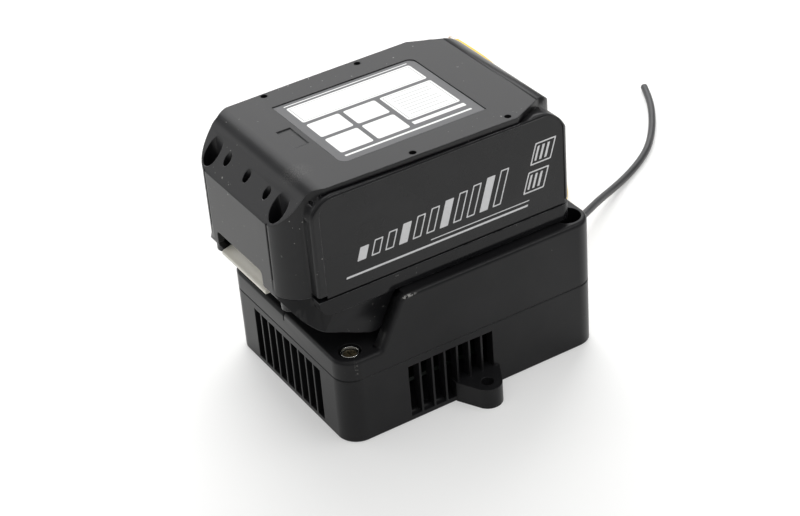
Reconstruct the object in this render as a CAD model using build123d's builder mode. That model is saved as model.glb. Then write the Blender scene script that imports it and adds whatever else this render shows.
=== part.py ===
from build123d import *
import os
from math import tan, radians, sqrt

# An adapter box with a cordless-tool battery pack slid onto it, upside down, and two bare leads.
# Frame: the origin is the middle of the underside. X runs from the button end (-X) to the lead
# end (+X), Y across, Z up. Lengths are millimetres.

# Cells, which set how wide the pack and the adapter are
cell_radius = 9.15
cell_length = 65.0
cell_pitch = 19.2
cell_row_pitch = 18.9
cell_roof_gap = 1.2
cell_side_room = 5.0
adapter_side_step = 4.7

# Adapter housing
base_length = 110.0
corner_radius = 8.0
shell_wall = 2.4
floor_thickness = 2.4
ledge_drop = 19.1
ledge_wall_height = 8.3
ledge_length = 16.5
ramp_run = 10.0
side_wall_height = 54.6
side_wall_thickness = 5.4
ramp_crest_radius = 3.0
ramp_foot_radius = 2.0
rim_radius = 1.6
rim_notch_width = 0.8
rim_notch_depth = 0.9
rim_notch_height = 3.2
seam_bevel = 0.35
foot_bevel = 0.4

# Vents
end_slot_count = 9
end_slot_width = 4.7
end_rib_width = 0.85
side_slot_count = 7
side_slot_width = 4.5
side_rib_width = 0.8
side_slot_middle_x = -10.5
vent_bottom = 2.1
vent_top_margin = 2.9
side_grille_depth = 4.2

# Mounting ears
ear_reach = 6.3
ear_middle_x = 0.4
ear_nose_radius = 5.6
ear_root_width = 19.3
ear_height = 8.4
ear_hole_radius = 2.4

# Shell screws
screw_inset = 7.6
screw_seat_depth = 3.5
screw_head_radius = 3.4
screw_head_height = 2.2
screw_shank_radius = 1.5
screw_length = 16.0
head_flat_share = 0.7
head_edge_share = 0.55
cross_length_share = 1.15
cross_width_share = 0.26
cross_depth_share = 0.9
front_well_radius = 4.3
rear_well_radius = 5.4
well_wall = 1.6
column_radius = 4.2
thread_gap = 0.05

# Rail seat for the pack
slide_gap = 0.3
neck_width = 52.0
rail_side = 4.0
rail_lip = 4.5
rail_block_depth = 11.4
rail_block_tail_gap = 7.7
flange_gap = 0.8
catch_wall = 3.4
rail_block_root = 8.2
catch_lead = 5.0
upward_share = 0.1

# Battery pack outline
pack_overhang = 13.1
pack_tail_inset = 7.3
flange_depth = 6.5
case_height = 42.4
case_wall = 2.4
nose_side_inset = 5.3
neck_run = 11.6
neck_inset = 4.9
shoulder_run = 17.1
shoulder_inset = 2.2
waist_run = 47.1
waist_inset = 1.5
tail_run = 21.2
tail_inset = 0.9
tail_cut_run = 9.1
tail_cut_inset = 7.1
tail_end_inset = 11.1
nose_corner_radius = 11.0
tail_corner_radius = 6.0
tail_edge_radius = 3.5
inner_tail_radius = 9.5
cheek_front_inset = 9.5
cheek_drop = 1.9
cheek_front_radius = 9.5
cheek_rear_radius = 14.0
cheek_edge_radius = 1.3
groove_width = 0.6
groove_depth = 1.0
slope_run = 12.6
slope_drop = 14.0
slope_blend_radius = 9.0
rear_blend_radius = 9.0
hump_length = 42.1
hump_depth = 21.2
hump_side_inset = 1.2
hump_chin_drop = 0.9
hump_chin_radius = 2.5
hump_face_run = 4.2
hump_face_drop = 7.3
hump_belly_run = 9.5
hump_belly_drop = 12.5
hump_front_radius = 14.0
hump_keel_front_run = 13.0
hump_keel_front_radius = 4.0
hump_keel_rear_run = 10.4
hump_keel_rear_radius = 3.5
hump_heel_run = 7.4
hump_heel_rise = 2.5
hump_heel_radius = 8.0
hump_back_run = 3.1
hump_back_drop = 11.4
hump_root_run = 1.2
hump_flare_angle = 15.0
hump_wall = 2.2
flange_under_radius = 5.5
cell_front_room = 17.2

# Pack markings and trim
label_length = 59.2
label_width = 49.2
label_corner_radius = 3.2
label_middle_run = 59.9
label_recess = 0.6
label_thickness = 0.3
bead_width = 3.4
bead_top_width = 1.4
film_front_radius = 6.0
film_rear_radius = 8.5
film_rear_inset = 2.5
film_recess = 0.7
film_thickness = 0.3
pin_hole_radius = 1.3
pin_hole_depth = 1.6
pin_hole_inset = 3.7
pin_hole_pitch = 39.4
far_pin_hole_run = 32.1
near_pin_hole_run = 52.9
code_recess_length = 13.5
code_recess_width = 5.6
code_recess_depth = 0.4
code_recess_run = 25.5
code_recess_y = 1.2
film_inset = 0.15

# Pack screws and nose holes
pack_screw_run = 5.2
pack_screw_inset = 8.2
pack_well_radius = 4.1
pack_column_radius = 5.0
pack_seat_rise = 11.1
pack_seat_thickness = 3.0
pack_boss_radius = 3.4
pack_head_radius = 3.2
pack_head_height = 2.4
pack_shank_radius = 1.5
pack_screw_length = 18.0
nose_hole_run = 5.9
nose_hole_pitch = 14.2
nose_hole_radius = 1.8
nose_hole_depth = 7.0
tongue_y = 18.0
tongue_width = 12.0
tongue_height = 2.4
tongue_thickness = 1.5

# Latch and button
button_near_room = 9.8
button_far_room = 5.6
button_gap = 0.4
button_opening_rise = 5.2
button_opening_drop = 5.3
button_opening_depth = 7.4
button_opening_radius = 1.8
button_plate_depth = 4.9
button_lip_depth = 0.7
button_shelf_inner_drop = 2.4
button_shelf_outer_drop = 3.4
button_lip_bevel = 0.5
button_thickness = 2.0
nose_groove_inset = 9.5
nose_groove_width = 0.8
nose_groove_depth = 0.5
nose_groove_rise = 5.9
hook_lead_in = 2.4
deck_rise = 1.3
deck_thickness = 2.0
deck_half_width = 13.5
deck_run = 15.7
arm_drop = 0.4
arm_thickness = 3.0
arm_half_width = 5.0
hook_length = 4.6
hook_half_width = 6.0
hook_reach = 3.2
hook_gap = 0.5
spring_run = 11.3
spring_y = 9.5
spring_radius = 2.6
spring_wire = 0.5
spring_turns = 4.0
spring_wire_sides = 6
spring_free_height = 11.0
spring_peg_radius = 1.7
spring_peg_height = 2.5
spring_post_radius = 3.4

# Cell holders, strips and the pack's board
cell_bevel_share = 1 / 12
holder_depth = 6.4
holder_gap = 0.25
holder_bore_gap = 0.1
strip_thickness = 0.3
strip_width = 8.0
holder_end = 0.5
holder_open = 0.6
board_thickness = 1.6
pack_board_front_gap = 8.0
pack_board_overhang = 2.0
pack_board_drop = 2.0
board_post_end = 4.0
board_post_side = 2.0
board_post_radius = 1.6

# Terminals
blade_side = 9.0
blade_thickness = 0.8
blade_run = 28.0
blade_length = 22.0
blade_rise = 6.3
blade_tail_run = 10.0
blade_tail_width = 5.0
blade_tail_depth = 11.0
blade_gap = 0.05
terminal_side = 3.0
terminal_front_end = 2.0
terminal_rear_end = 4.0
terminal_flange = 2.0
terminal_flange_depth = 3.2
slot_half_width = 1.7
slot_wall = 1.6
slot_roof = 1.6
slot_headroom = 2.0
clip_leaf = 0.4
clip_pinch_gap = 0.08
clip_length = 13.0
clip_tail_width = 4.0

# Converter inside the base
board_end_room = 14.0
board_width = 64.0
board_z = 9.0
board_screw_inset = 5.0
post_radius = 3.0
board_screw_head_radius = 2.6
board_screw_head_height = 1.6
board_screw_shank_radius = 1.2
board_screw_length = 7.0
coil_run = 37.0
coil_core_radius = 4.0
coil_flange_radius = 10.0
coil_flange = 2.0
coil_height = 15.0
coil_winding_radius = 9.0
capacitor_radius = 5.0
capacitor_head_room = 6.5
output_capacitor_run = 28.0
input_capacitor_step = 6.0
input_capacitor_y = -19.5
sink_run = 7.0
sink_width = 36.0
sink_head_room = 10.7
sink_plate = 3.0
sink_fin = 1.2
sink_fin_count = 7
sink_fin_length = 9.0
transistor_y = 9.0
transistor_width = 10.0
transistor_height = 15.0
transistor_thickness = 4.5
transistor_stand = 4.0
transistor_leg = 0.7
transistor_leg_pitch = 2.5
fuse_run = 11.0
fuse_y = -11.0
fuse_holder_length = 18.0
fuse_holder_width = 8.0
fuse_holder_height = 9.0
fuse_length = 12.0
fuse_width = 3.8
fuse_height = 12.0
fuse_slot_depth = 5.0
output_block_run = 12.0
output_block_length = 8.0
output_block_side = 5.0
output_block_height = 9.0
wire_radius = 1.3

# Leads
lead_radius = 1.6
lead_exit_z = 13.0
black_exit_y = 6.0
yellow_exit_y = 17.0
grommet_flange_radius = 4.6
grommet_flange = 1.2
grommet_neck_radius = 3.2
grommet_nose_radius = 2.7
grommet_nose_length = 3.0
grommet_gap = 0.05
tip_radius = 1.1
tip_length = 5.5
lead_turn_share = 0.45

# How far a cut runs past the face that it opens
overrun = 1.0

# Levels and places worked out from the sizes above
front_x = -base_length / 2
rear_x = base_length / 2
pack_front_x = front_x - pack_overhang
pack_rear_x = rear_x - pack_tail_inset
pack_width = cell_length + 2 * cell_side_room
pack_half_width = pack_width / 2
base_width = pack_width + 2 * adapter_side_step
half_width = base_width / 2
ledge_height = side_wall_height - ledge_drop
base_height = ledge_height - ledge_wall_height
vent_top = base_height - vent_top_margin
screw_seat_z = ledge_height - screw_seat_depth
ramp_foot_x = front_x + ledge_length
ramp_top_x = ramp_foot_x + ramp_run
hump_rear_x = pack_front_x + hump_length
rail_width = neck_width + 2 * rail_side
rail_block_front_x = hump_rear_x - rail_block_root
rail_block_rear_x = pack_rear_x - rail_block_tail_gap
flange_z = side_wall_height + flange_gap
platform_z = flange_z - rail_block_depth
channel_floor_z = platform_z - slide_gap
channel_roof_z = channel_floor_z - shell_wall
block_bottom_z = channel_roof_z - terminal_flange_depth
board_top_z = board_z + board_thickness
sink_height = channel_roof_z - sink_head_room - board_top_z
capacitor_height = block_bottom_z - capacitor_head_room - board_top_z
rail_under_z = platform_z + rail_lip + slide_gap
channel_front_x = hump_rear_x - catch_lead
bay_rear_x = hump_rear_x + slide_gap
channel_rear_x = rail_block_rear_x + slide_gap
seam_z = flange_z + flange_depth
crown_z = seam_z + case_height
cheek_front_x = pack_front_x + cheek_front_inset
cheek_top_z = crown_z - cheek_drop
screw_x = rear_x - screw_inset
screw_y = half_width - screw_inset
ear_hole_y = half_width + ear_reach
hook_front_x = channel_front_x + catch_wall + hook_gap
nose_half_width = pack_half_width - nose_side_inset
hump_half_width = pack_half_width - hump_side_inset
hump_low_z = seam_z - hump_depth
pack_screw_x = pack_front_x + pack_screw_run
pack_screw_y = nose_half_width - pack_screw_inset
pack_seat_z = seam_z + pack_seat_rise
nose_hole_x = pack_front_x + nose_hole_run
label_middle_x = pack_front_x + label_middle_run
pin_hole_y = pack_half_width - pin_hole_inset
code_recess_x = pack_front_x + code_recess_run
button_near_y = -(pack_screw_y - button_near_room)
button_far_y = pack_screw_y - button_far_room
button_opening_top = seam_z + button_opening_rise
button_opening_bottom = seam_z - button_opening_drop
button_opening_rear_x = pack_front_x + button_opening_depth
button_top = button_opening_top - button_gap
button_bottom = button_opening_bottom + button_gap
button_plate_x = pack_front_x + button_plate_depth
button_lip_x = pack_front_x + button_lip_depth
button_shelf_inner_z = seam_z - button_shelf_inner_drop
button_shelf_outer_z = seam_z - button_shelf_outer_drop
nose_groove_y = nose_half_width - nose_groove_inset
nose_groove_bottom = seam_z + nose_groove_rise
deck_z = seam_z + deck_rise
deck_rear_x = pack_front_x + deck_run
arm_z = flange_z - arm_drop
spring_x = pack_front_x + spring_run
cell_space_front_x = pack_front_x + cell_front_room
cell_column_count = 1 + int((pack_rear_x - case_wall - 2 * holder_gap - 2 * cell_radius - cell_space_front_x)
                       / cell_pitch)
pack_board_front_x = hump_rear_x + pack_board_front_gap
pack_board_rear_x = rail_block_rear_x + pack_board_overhang
board_post_front_x = pack_board_front_x + board_post_end
board_post_rear_x = pack_board_rear_x - board_post_end
board_post_y = neck_width / 2
pack_board_half_width = board_post_y + board_post_side
blade_y = neck_width / 2 - blade_side
blade_front_x = rail_block_rear_x - blade_run
blade_rear_x = blade_front_x + blade_length
blade_tail_x = blade_front_x + blade_tail_run
terminal_half_width = neck_width / 2 - terminal_side
terminal_front_x = blade_front_x - terminal_front_end
terminal_rear_x = blade_rear_x + terminal_rear_end
board_length = base_length - 2 * board_end_room
board_front_x = -board_length / 2
board_rear_x = board_length / 2
board_screw_x = board_rear_x - board_screw_inset
board_screw_y = board_width / 2 - board_screw_inset
coil_x = board_front_x + coil_run
output_capacitor_x = board_rear_x - output_capacitor_run
input_capacitor_x = coil_x + input_capacitor_step
sink_front_x = board_front_x + sink_run
fuse_x = board_rear_x - fuse_run
output_block_front_x = board_rear_x - output_block_run
sides = (1, -1)

os.makedirs("parts", exist_ok=True)


def finish(builder, name):
    builder.part.label = name
    export_step(builder.part, "parts/" + name + ".step")


def slab(x_range, y_range, z_range, mode=Mode.ADD):
    # A rectangular prism between two values on each axis
    with BuildSketch(Plane.XY.offset(z_range[0])) as section:
        with Locations(((x_range[0] + x_range[1]) / 2, (y_range[0] + y_range[1]) / 2)):
            Rectangle(x_range[1] - x_range[0], y_range[1] - y_range[0])
    extrude(section.sketch, amount=z_range[1] - z_range[0], mode=mode)


def post(x, y, radius, z_range, mode=Mode.ADD):
    # A round column between two heights
    with BuildSketch(Plane.XY.offset(z_range[0])) as section:
        with Locations((x, y)):
            Circle(radius)
    extrude(section.sketch, amount=z_range[1] - z_range[0], mode=mode)


def side_profile(points, half_depth, radii=(), mode=Mode.ADD):
    # An outline in X and Z, drawn out both ways across Y, with (index, radius) roundings
    with BuildSketch(Plane.XZ) as section:
        with BuildLine():
            Polyline(*points, close=True)
        make_face()
        for index, radius in radii:
            corner = Vector(points[index][0], points[index][1])
            fillet(section.vertices().sort_by_distance(corner)[0], radius)
    extrude(section.sketch, amount=half_depth, both=True, mode=mode)


# Adapter base: floor, walls, vent grilles, ears, screw columns, board posts and lead holes

def ear_outline(side):
    with BuildSketch() as outline:
        with Locations((ear_middle_x, side * ear_hole_y)):
            Circle(ear_nose_radius)
        with Locations((ear_middle_x, side * (half_width - shell_wall / 2))):
            Rectangle(ear_root_width, shell_wall)
        make_hull()
    return outline.sketch


def slot_places(count, width, rib):
    pitch = width + rib
    return [(index - (count - 1) / 2) * pitch for index in range(count)]


vent_height = vent_top - vent_bottom
vent_middle_z = (vent_top + vent_bottom) / 2
end_places = slot_places(end_slot_count, end_slot_width, end_rib_width)
side_places = slot_places(side_slot_count, side_slot_width, side_rib_width)
side_grille_length = side_slot_count * (side_slot_width + side_rib_width) + side_rib_width

with BuildPart() as base_shell:
    with BuildSketch():
        RectangleRounded(base_length, base_width, corner_radius)
    extrude(amount=base_height)
    chamfer(base_shell.edges().group_by(Axis.Z)[-1], seam_bevel)
    for side in sides:
        with BuildSketch():
            add(ear_outline(side))
        extrude(amount=ear_height)
    chamfer(base_shell.faces().sort_by(Axis.Z)[0].edges(), foot_bevel)
    with BuildSketch(Plane.XY.offset(floor_thickness)):
        RectangleRounded(base_length - 2 * shell_wall, base_width - 2 * shell_wall,
                         corner_radius - shell_wall)
    extrude(amount=base_height, mode=Mode.SUBTRACT)
    # Thicker grille panels behind the side vents
    for side in sides:
        pad = sorted((side * (half_width - side_grille_depth), side * (half_width - shell_wall / 2)))
        half_grille = side_grille_length / 2
        slab((side_slot_middle_x - half_grille, side_slot_middle_x + half_grille), pad,
             (floor_thickness / 2, vent_top + side_rib_width))
    for side in sides:
        with Locations(*[(side_slot_middle_x + x, side * (half_width - side_grille_depth / 2), vent_middle_z)
                         for x in side_places]):
            Box(side_slot_width, side_grille_depth + 2 * side_rib_width, vent_height, mode=Mode.SUBTRACT)
    with Locations(*[(front_x + shell_wall / 2, y, vent_middle_z) for y in end_places]):
        Box(2 * shell_wall, end_slot_width, vent_height, mode=Mode.SUBTRACT)
    # The ears close the slots that they cross
    for side in sides:
        with BuildSketch():
            add(ear_outline(side))
            with Locations((ear_middle_x, side * (half_width - side_grille_depth / 2))):
                Rectangle(ear_root_width, side_grille_depth)
        extrude(amount=ear_height)
        post(ear_middle_x, side * ear_hole_y, ear_hole_radius, (-overrun, ear_height + overrun),
             Mode.SUBTRACT)
    # Columns under the shell screws and posts under the board
    for x in (screw_x, -screw_x):
        for y in (screw_y, -screw_y):
            post(x, y, column_radius, (floor_thickness / 2, base_height))
            pilot_bottom = screw_seat_z - screw_length - screw_head_height
            post(x, y, screw_shank_radius + thread_gap, (pilot_bottom, base_height + overrun), Mode.SUBTRACT)
    for x in (board_screw_x, -board_screw_x):
        for y in (board_screw_y, -board_screw_y):
            post(x, y, post_radius, (floor_thickness / 2, board_z))
            pilot_bottom = board_z + board_thickness - board_screw_length - thread_gap
            post(x, y, board_screw_shank_radius + thread_gap, (pilot_bottom, board_z + overrun),
                 Mode.SUBTRACT)
    # Holes for the lead grommets in the rear wall
    for y in (black_exit_y, yellow_exit_y):
        with Locations(Location((rear_x - shell_wall / 2, y, lead_exit_z), (0, 90, 0))):
            Cylinder(grommet_neck_radius + grommet_gap, 2 * shell_wall, mode=Mode.SUBTRACT)
finish(base_shell, "base_shell")


# Adapter top: ledge and ramps at the front, side walls with rail lips, pocket for the latch

outer_y = half_width - shell_wall
ledge_roof_z = ledge_height - shell_wall
hump_bay_half_width = half_width - side_wall_thickness
pocket_front_x = channel_front_x + catch_wall
pocket_rear_x = hook_front_x + hook_length + hook_gap
pocket_bottom_z = platform_z - hook_reach - hook_gap - slide_gap
pocket_half_width = hook_half_width + hook_gap
screw_places = ((-screw_x, screw_y), (-screw_x, -screw_y), (screw_x, screw_y), (screw_x, -screw_y))

with BuildPart() as top_shell:
    with BuildSketch(Plane.XY.offset(base_height)):
        RectangleRounded(base_length, base_width, corner_radius)
    extrude(amount=side_wall_height - base_height)
    side_profile(((front_x - overrun, ledge_height), (ramp_foot_x, ledge_height),
                  (ramp_top_x, side_wall_height), (ramp_top_x, side_wall_height + overrun),
                  (front_x - overrun, side_wall_height + overrun)),
                 half_width + overrun, ((1, ramp_foot_radius),), Mode.SUBTRACT)
    crest = top_shell.edges().filter_by(Axis.Y).sort_by(Axis.Z)[-2:].sort_by(Axis.X)[0]
    fillet(crest, ramp_crest_radius)
    upper_faces = top_shell.faces().filter_by(lambda face: face.normal_at().Z > upward_share)
    rim = [edge for edge in upper_faces.edges()
           if abs(edge.center().Y) > half_width - corner_radius
           or abs(abs(edge.center().X) - rear_x) < corner_radius / 2]
    fillet(rim, rim_radius)
    chamfer(top_shell.faces().sort_by(Axis.Z)[0].edges(), seam_bevel)
    # A small notch in the middle of the front rim
    slab((front_x - overrun, front_x + rim_notch_depth), (-rim_notch_width / 2, rim_notch_width / 2),
         (ledge_height - rim_notch_height, ledge_height + overrun), Mode.SUBTRACT)
    # Bay for the pack's hump, then the rail channel behind it
    slab((front_x - overrun, channel_front_x), (-hump_bay_half_width, hump_bay_half_width),
         (ledge_height, side_wall_height + overrun), Mode.SUBTRACT)
    slab((channel_front_x - overrun, bay_rear_x), (-hump_bay_half_width, hump_bay_half_width),
         (channel_floor_z, side_wall_height + overrun), Mode.SUBTRACT)
    slab((channel_front_x - overrun, channel_rear_x),
         (-rail_width / 2 - slide_gap, rail_width / 2 + slide_gap),
         (channel_floor_z, rail_under_z), Mode.SUBTRACT)
    slab((channel_front_x - overrun, channel_rear_x),
         (-neck_width / 2 - slide_gap, neck_width / 2 + slide_gap),
         (channel_floor_z, side_wall_height + overrun), Mode.SUBTRACT)
    # Hollow underside
    with BuildSketch(Plane.XY.offset(base_height)):
        RectangleRounded(base_length - 2 * shell_wall, base_width - 2 * shell_wall,
                         corner_radius - shell_wall)
    extrude(amount=ledge_roof_z - base_height, mode=Mode.SUBTRACT)
    slab((channel_front_x + shell_wall, rear_x - shell_wall), (-outer_y, outer_y),
         (base_height, channel_roof_z), Mode.SUBTRACT)
    for side in sides:
        side_hollow = sorted((side * (rail_width / 2 + slide_gap + shell_wall), side * outer_y))
        slab((bay_rear_x + shell_wall, screw_x - rear_well_radius - shell_wall), side_hollow,
             (base_height, side_wall_height - shell_wall), Mode.SUBTRACT)
    rear_hollow_half_width = screw_y - rear_well_radius - well_wall - shell_wall / 2
    slab((channel_rear_x + shell_wall, rear_x - shell_wall),
         (-rear_hollow_half_width, rear_hollow_half_width),
         (base_height, side_wall_height - shell_wall), Mode.SUBTRACT)
    # Bosses and wells for the four screws
    for x, y in screw_places:
        front = x < 0
        well_radius = front_well_radius if front else rear_well_radius
        roof_z = ledge_roof_z if front else channel_roof_z
        post(x, y, well_radius + well_wall, (base_height, roof_z + shell_wall / 2))
    for x, y in screw_places:
        well_radius = front_well_radius if x < 0 else rear_well_radius
        post(x, y, well_radius, (screw_seat_z, side_wall_height + overrun), Mode.SUBTRACT)
        post(x, y, screw_shank_radius + 3 * thread_gap, (base_height - overrun, screw_seat_z), Mode.SUBTRACT)
    # Latch pocket in the channel floor, behind its catch wall
    slab((channel_front_x, pocket_rear_x + shell_wall),
         (-pocket_half_width - shell_wall, pocket_half_width + shell_wall),
         (pocket_bottom_z - shell_wall, channel_floor_z))
    slab((pocket_front_x, pocket_rear_x), (-pocket_half_width, pocket_half_width),
         (pocket_bottom_z, channel_floor_z + overrun), Mode.SUBTRACT)
    # Opening for the terminal block
    slab((terminal_front_x, terminal_rear_x), (-terminal_half_width, terminal_half_width),
         (channel_roof_z - overrun, channel_floor_z + overrun), Mode.SUBTRACT)
finish(top_shell, "top_shell")


# The four pan-head screws that close the housing

def pan_screw(x, y, seat_z, head_radius, head_height, shank_radius, length, up=1):
    # Head and shank as one turned profile, then a cross recess in the head
    top_z = seat_z + up * head_height
    with BuildSketch(Plane.XZ.offset(-y)) as section:
        with BuildLine():
            Polyline((x, top_z), (x + head_radius * head_flat_share, top_z),
                     (x + head_radius, seat_z + up * head_height * head_edge_share),
                     (x + head_radius, seat_z),
                     (x + shank_radius, seat_z), (x + shank_radius, seat_z - up * (length - shank_radius)),
                     (x, seat_z - up * length), close=True)
        make_face()
    revolve(section.sketch, axis=Axis((x, y, 0), (0, 0, 1)))
    long_side = head_radius * cross_length_share
    short_side = head_radius * cross_width_share
    for x_side, y_side in ((long_side, short_side), (short_side, long_side)):
        with Locations((x, y, top_z)):
            Box(x_side, y_side, head_height * cross_depth_share, mode=Mode.SUBTRACT)


with BuildPart() as shell_screws:
    for x, y in screw_places:
        pan_screw(x, y, screw_seat_z, screw_head_radius, screw_head_height, screw_shank_radius, screw_length)
finish(shell_screws, "shell_screws")


# Terminal block under the channel floor, with the two blades that stand in it

with BuildPart() as terminal_block:
    slab((terminal_front_x + thread_gap, terminal_rear_x - thread_gap),
         (-terminal_half_width + thread_gap, terminal_half_width - thread_gap),
         (block_bottom_z, channel_floor_z))
    slab((terminal_front_x - terminal_flange, terminal_rear_x + terminal_flange),
         (-terminal_half_width - terminal_flange, terminal_half_width + terminal_flange),
         (block_bottom_z, channel_roof_z))
    for side in sides:
        half_slot = blade_thickness / 2 + blade_gap
        slab((blade_front_x - blade_gap, blade_rear_x + blade_gap),
             (side * blade_y - half_slot, side * blade_y + half_slot),
             (block_bottom_z - overrun, channel_floor_z + overrun), Mode.SUBTRACT)
finish(terminal_block, "terminal_block")


def blade(side):
    # A flat contact with a tapered leading edge, and a tail below the block for its wire
    top_z = channel_floor_z + blade_rise
    tail_z = block_bottom_z - blade_tail_depth / 2
    lead_in = blade_rise / 3
    half_tail = blade_tail_width / 2
    with BuildPart() as plate:
        with BuildSketch(Plane.XZ.offset(-side * blade_y)):
            with BuildLine():
                Polyline((blade_front_x, block_bottom_z), (blade_front_x, top_z - lead_in),
                         (blade_front_x + lead_in, top_z), (blade_rear_x, top_z),
                         (blade_rear_x, block_bottom_z), (blade_tail_x + half_tail, block_bottom_z),
                         (blade_tail_x + half_tail, tail_z), (blade_tail_x - half_tail, tail_z),
                         (blade_tail_x - half_tail, block_bottom_z), close=True)
            make_face()
        extrude(amount=blade_thickness / 2, both=True)
    return plate


positive_blade = blade(1)
finish(positive_blade, "positive_blade")
negative_blade = blade(-1)
finish(negative_blade, "negative_blade")


# Converter board on its posts, with its screws and parts

board_screw_places = [(x, y) for x in (board_screw_x, -board_screw_x)
                      for y in (board_screw_y, -board_screw_y)]
with BuildPart() as converter_board:
    with BuildSketch(Plane.XY.offset(board_z)):
        RectangleRounded(board_length, board_width, post_radius)
        with Locations(*board_screw_places):
            Circle(board_screw_shank_radius + 2 * thread_gap, mode=Mode.SUBTRACT)
    extrude(amount=board_thickness)
finish(converter_board, "converter_board")

with BuildPart() as board_screws:
    for x, y in board_screw_places:
        pan_screw(x, y, board_top_z, board_screw_head_radius, board_screw_head_height,
                  board_screw_shank_radius, board_screw_length)
finish(board_screws, "board_screws")

coil_top_z = board_top_z + coil_height
with BuildPart() as inductor_core:
    with BuildSketch(Plane.XZ):
        with BuildLine():
            Polyline((coil_x, board_top_z), (coil_x + coil_flange_radius, board_top_z),
                     (coil_x + coil_flange_radius, board_top_z + coil_flange),
                     (coil_x + coil_core_radius, board_top_z + coil_flange),
                     (coil_x + coil_core_radius, coil_top_z - coil_flange),
                     (coil_x + coil_flange_radius, coil_top_z - coil_flange),
                     (coil_x + coil_flange_radius, coil_top_z), (coil_x, coil_top_z), close=True)
        make_face()
    revolve(axis=Axis((coil_x, 0, 0), (0, 0, 1)))
finish(inductor_core, "inductor_core")

with BuildPart() as inductor_winding:
    with BuildSketch(Plane.XY.offset(board_top_z + coil_flange)):
        with Locations((coil_x, 0)):
            Circle(coil_winding_radius)
            Circle(coil_core_radius + thread_gap, mode=Mode.SUBTRACT)
    extrude(amount=coil_height - 2 * coil_flange)
finish(inductor_winding, "inductor_winding")


def capacitor(x, y):
    # An electrolytic can with a rolled neck and a rubber bung
    neck = capacitor_radius / 8
    with BuildPart() as can:
        with BuildSketch(Plane.XZ.offset(-y)):
            with BuildLine():
                Polyline((x, board_top_z), (x + capacitor_radius - neck, board_top_z),
                         (x + capacitor_radius, board_top_z + neck),
                         (x + capacitor_radius, board_top_z + 3 * neck),
                         (x + capacitor_radius - neck, board_top_z + 4 * neck),
                         (x + capacitor_radius, board_top_z + 5 * neck),
                         (x + capacitor_radius, board_top_z + capacitor_height - neck),
                         (x + capacitor_radius - neck, board_top_z + capacitor_height),
                         (x, board_top_z + capacitor_height), close=True)
            make_face()
        revolve(axis=Axis((x, y, 0), (0, 0, 1)))
    return can


input_capacitor = capacitor(input_capacitor_x, input_capacitor_y)
finish(input_capacitor, "input_capacitor")
output_capacitor = capacitor(output_capacitor_x, 0)
finish(output_capacitor, "output_capacitor")

sink_back_x = sink_front_x + sink_fin_length + sink_plate
fin_pitch = (sink_width - sink_fin) / (sink_fin_count - 1)
with BuildPart() as heat_sink:
    slab((sink_back_x - sink_plate, sink_back_x), (-sink_width / 2, sink_width / 2),
         (board_top_z, board_top_z + sink_height))
    with BuildSketch(Plane.XY.offset(board_top_z)):
        with Locations(*[(sink_front_x + sink_fin_length / 2, (index - (sink_fin_count - 1) / 2) * fin_pitch)
                         for index in range(sink_fin_count)]):
            Rectangle(sink_fin_length, sink_fin)
    extrude(amount=sink_height)
finish(heat_sink, "heat_sink")

body_z = board_top_z + transistor_stand
with BuildPart() as power_transistors:
    for side in sides:
        middle = side * transistor_y
        slab((sink_back_x, sink_back_x + transistor_thickness / 3),
             (middle - transistor_width / 2, middle + transistor_width / 2),
             (body_z, body_z + transistor_height))
        slab((sink_back_x, sink_back_x + transistor_thickness),
             (middle - transistor_width / 2, middle + transistor_width / 2),
             (body_z, body_z + transistor_height * 3 / 5))
        leg_x = sink_back_x + transistor_thickness / 2
        for leg_shift in (-transistor_leg_pitch, 0, transistor_leg_pitch):
            slab((leg_x - transistor_leg / 2, leg_x + transistor_leg / 2),
                 (middle + leg_shift - transistor_leg / 2, middle + leg_shift + transistor_leg / 2),
                 (board_top_z, body_z + transistor_leg))
finish(power_transistors, "power_transistors")

fuse_slot_z = board_top_z + fuse_holder_height - fuse_slot_depth
with BuildPart() as fuse_holder:
    slab((fuse_x - fuse_holder_width / 2, fuse_x + fuse_holder_width / 2),
         (fuse_y - fuse_holder_length / 2, fuse_y + fuse_holder_length / 2),
         (board_top_z, board_top_z + fuse_holder_height))
    slab((fuse_x - fuse_width / 2 - blade_gap, fuse_x + fuse_width / 2 + blade_gap),
         (fuse_y - fuse_length / 2 - blade_gap, fuse_y + fuse_length / 2 + blade_gap),
         (fuse_slot_z, board_top_z + fuse_holder_height + overrun), Mode.SUBTRACT)
finish(fuse_holder, "fuse_holder")

with BuildPart() as fuse:
    slab((fuse_x - fuse_width / 2, fuse_x + fuse_width / 2),
         (fuse_y - fuse_length / 2, fuse_y + fuse_length / 2),
         (fuse_slot_z, fuse_slot_z + fuse_height))
    with BuildSketch(Plane.YZ.offset(fuse_x - fuse_width)):
        with Locations((fuse_y, fuse_slot_z + fuse_height * 3 / 4)):
            Rectangle(fuse_length / 3, fuse_height / 5)
    extrude(amount=2 * fuse_width, mode=Mode.SUBTRACT)
finish(fuse, "fuse")

block_low_y = black_exit_y - output_block_side
block_high_y = yellow_exit_y + output_block_side
block_rear_x = output_block_front_x + output_block_length
wire_seat_x = block_rear_x - output_block_length / 2
with BuildPart() as output_terminals:
    slab((output_block_front_x, block_rear_x), (block_low_y, block_high_y),
         (board_top_z, board_top_z + output_block_height))
    for y in (black_exit_y, yellow_exit_y):
        with BuildSketch(Plane.YZ.offset(wire_seat_x)):
            with Locations((y, lead_exit_z)):
                Circle(lead_radius + grommet_gap)
        extrude(amount=output_block_length, mode=Mode.SUBTRACT)
        post(output_block_front_x + output_block_length / 3, y, lead_radius,
             (board_top_z + output_block_height * 2 / 3, board_top_z + output_block_height + overrun),
             Mode.SUBTRACT)
finish(output_terminals, "output_terminals")


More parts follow.
